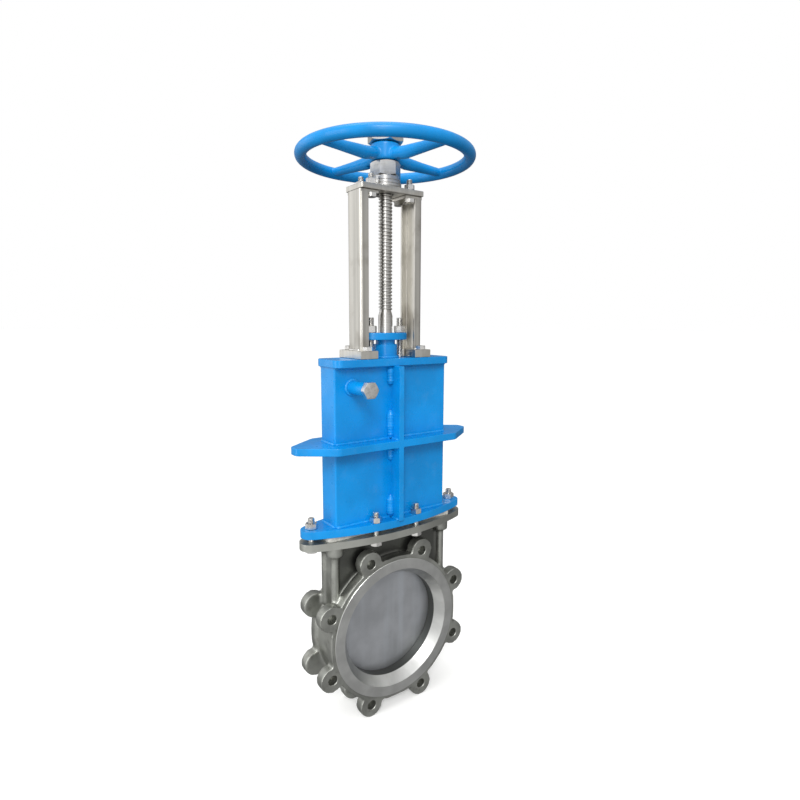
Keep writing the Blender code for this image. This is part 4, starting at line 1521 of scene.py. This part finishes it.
@dataclass
class Studio:
    """Pale floor, soft lights and the camera."""

    eye: tuple[float, float, float] = (-0.5611, -0.8477, 0.5643)
    yaw: float = -35.06
    pitch: float = -7.93
    roll: float = 0.22
    lens: float = 25.28
    shift: Point = (-0.0007, 0.0009)
    floor_r: float = 60.0
    bright_side: tuple[float, float, float] = (-0.64, -0.45, 0.62)
    room: Point = (0.07, 1.02)
    aim: tuple[float, float, float] = (0.0, 0.0, 0.35)
    key: tuple[float, float, float] = (-0.45, -0.65, 0.61)

    def camera(self) -> None:
        """Stand the camera where the valve is seen from its front left."""
        made = bpy.data.cameras.new("camera")
        made.sensor_width, made.lens = 36.0, self.lens
        made.shift_x, made.shift_y = self.shift
        made.clip_end = 200
        yaw, pitch, roll = (radians(a) for a in (self.yaw, self.pitch, self.roll))
        ahead = Vector((-sin(yaw) * cos(pitch), cos(yaw) * cos(pitch), sin(pitch)))
        level = Vector((cos(yaw), sin(yaw), 0))
        right = level * cos(roll) + level.cross(ahead) * sin(roll)
        basis = Matrix((right, right.cross(ahead), -ahead)).transposed().to_4x4()
        item = bpy.data.objects.new("camera", made)
        item.matrix_world = Matrix.Translation(self.eye) @ basis
        bpy.context.scene.collection.objects.link(item)
        bpy.context.scene.camera = item

    def light(self, name: str, watts: float, size: Point, at: Sequence[float]) -> None:
        """Hang a white soft box that faces the valve's middle.

        Args:
            name: name of the light.
            watts: its power.
            size: width and height in metres.
            at: its place in metres.
        """
        lamp = bpy.data.lights.new(name, "AREA")
        lamp.shape, lamp.energy = "RECTANGLE", watts
        lamp.size, lamp.size_y = size
        item = bpy.data.objects.new(name, lamp)
        item.location = at
        aim = Vector(self.aim) - Vector(at)
        item.rotation_euler = aim.to_track_quat("-Z", "Y").to_euler()
        item.visible_camera = False
        bpy.context.scene.collection.objects.link(item)

    def sun(self, strength: float, towards: Sequence[float], spread: float) -> None:
        """Add a broad distant key light.

        Args:
            strength: its strength.
            towards: direction from the valve to it.
            spread: width of its disc in degrees.
        """
        lamp = bpy.data.lights.new("key", "SUN")
        lamp.energy, lamp.angle = strength, radians(spread)
        item = bpy.data.objects.new("key", lamp)
        item.rotation_euler = Vector(towards).to_track_quat("Z", "Y").to_euler()
        bpy.context.scene.collection.objects.link(item)

    def sky(self) -> None:
        """Room that is bright towards one side and dark towards the other, and white where it is seen."""
        world = bpy.data.worlds.new("room")
        bpy.context.scene.world = world
        world.use_nodes = True
        nodes, links = world.node_tree.nodes, world.node_tree.links
        back = nodes["Background"]
        where = nodes.new("ShaderNodeTexCoord")
        slope = nodes.new("ShaderNodeVectorMath")
        slope.operation = "DOT_PRODUCT"
        slope.inputs[1].default_value = self.bright_side
        links.new(where.outputs["Generated"], slope.inputs[0])
        ramp = nodes.new("ShaderNodeMapRange")
        ramp.inputs["From Min"].default_value, ramp.inputs["From Max"].default_value = -1.0, 1.0
        ramp.inputs["To Min"].default_value, ramp.inputs["To Max"].default_value = self.room
        links.new(slope.outputs["Value"], ramp.inputs["Value"])
        seen = nodes.new("ShaderNodeLightPath")
        pick = nodes.new("ShaderNodeMix")
        links.new(seen.outputs["Is Camera Ray"], pick.inputs[0])
        links.new(ramp.outputs[0], pick.inputs[2])
        pick.inputs[3].default_value = 1.0
        links.new(pick.outputs[0], back.inputs["Strength"])
        back.inputs["Color"].default_value = (1, 1, 1, 1)

    def floor(self, height: float) -> None:
        """Lay a wide pale disc under the valve, at a height in metres."""
        disc = Solid()
        bmesh.ops.create_circle(disc.bm, cap_ends=True, segments=96, radius=self.floor_r / MM)
        disc.shift(0, 0, height / MM)
        disc.bm.transform(Matrix.Scale(MM, 4))
        mesh = disc.mesh()
        mesh.materials.append(FLOOR.mixed())
        item = bpy.data.objects.new("studio_floor", mesh)
        bpy.context.scene.collection.objects.link(item)
        item.visible_diffuse = item.visible_glossy = False
        item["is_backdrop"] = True

    def build(self, height: float) -> None:
        """Set up the floor at a height in metres, the lights and the camera."""
        self.floor(height)
        self.sky()
        self.sun(1.4, self.key, 20)
        self.light("left_box", 11, (0.8, 1.8), (-2.0, 0.1, 0.7))
        self.light("rear_left_box", 5.5, (1.4, 1.8), (-1.3, 1.85, 0.9))
        self.light("front_strip", 8, (0.28, 1.6), (-1.3, -1.72, 0.95))
        self.light("top_box", 13, (1.6, 1.6), (-0.2, 0.0, 2.6))
        self.camera()


def dress(nodes: Iterable[str], finish: Finish) -> None:
    """Give packed sub-parts that stay as they are a finish."""
    for name in nodes:
        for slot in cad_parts[name].material_slots:
            slot.material = finish.mixed()
        LOG.info("%s: packed shape, dressed in %s", name, finish.name)


def main() -> None:
    """Build the valve from the bottom up, then the studio."""
    logging.basicConfig(level=logging.INFO, format="%(message)s")
    bpy.context.scene.view_settings.view_transform = "Standard"
    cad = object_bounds()
    joint = FlangeJoint()
    bolts = [tuple(Limits.of(f"flange_bolt_{k}").centre.xy) for k in range(1, joint.count + 1)]
    ValveBody(bolts=bolts).build()
    Bonnet(bolts=bolts).build()
    for assembly in (PurgePlug(), joint, Gland(), Yoke(), BearingHead(), Handwheel(), GateSet()):
        assembly.build()
    dress((f"packing_ring_{k}" for k in (1, 2, 3)), PACKING)
    dress(("body_gasket", "gate_guide_left", "gate_guide_right"), SEAL)
    dress(("thrust_bearing_lower", "thrust_bearing_upper", "handwheel_key"), BRIGHT)
    Studio().build(cad[0].z)


if __name__ == "__main__":
    main()
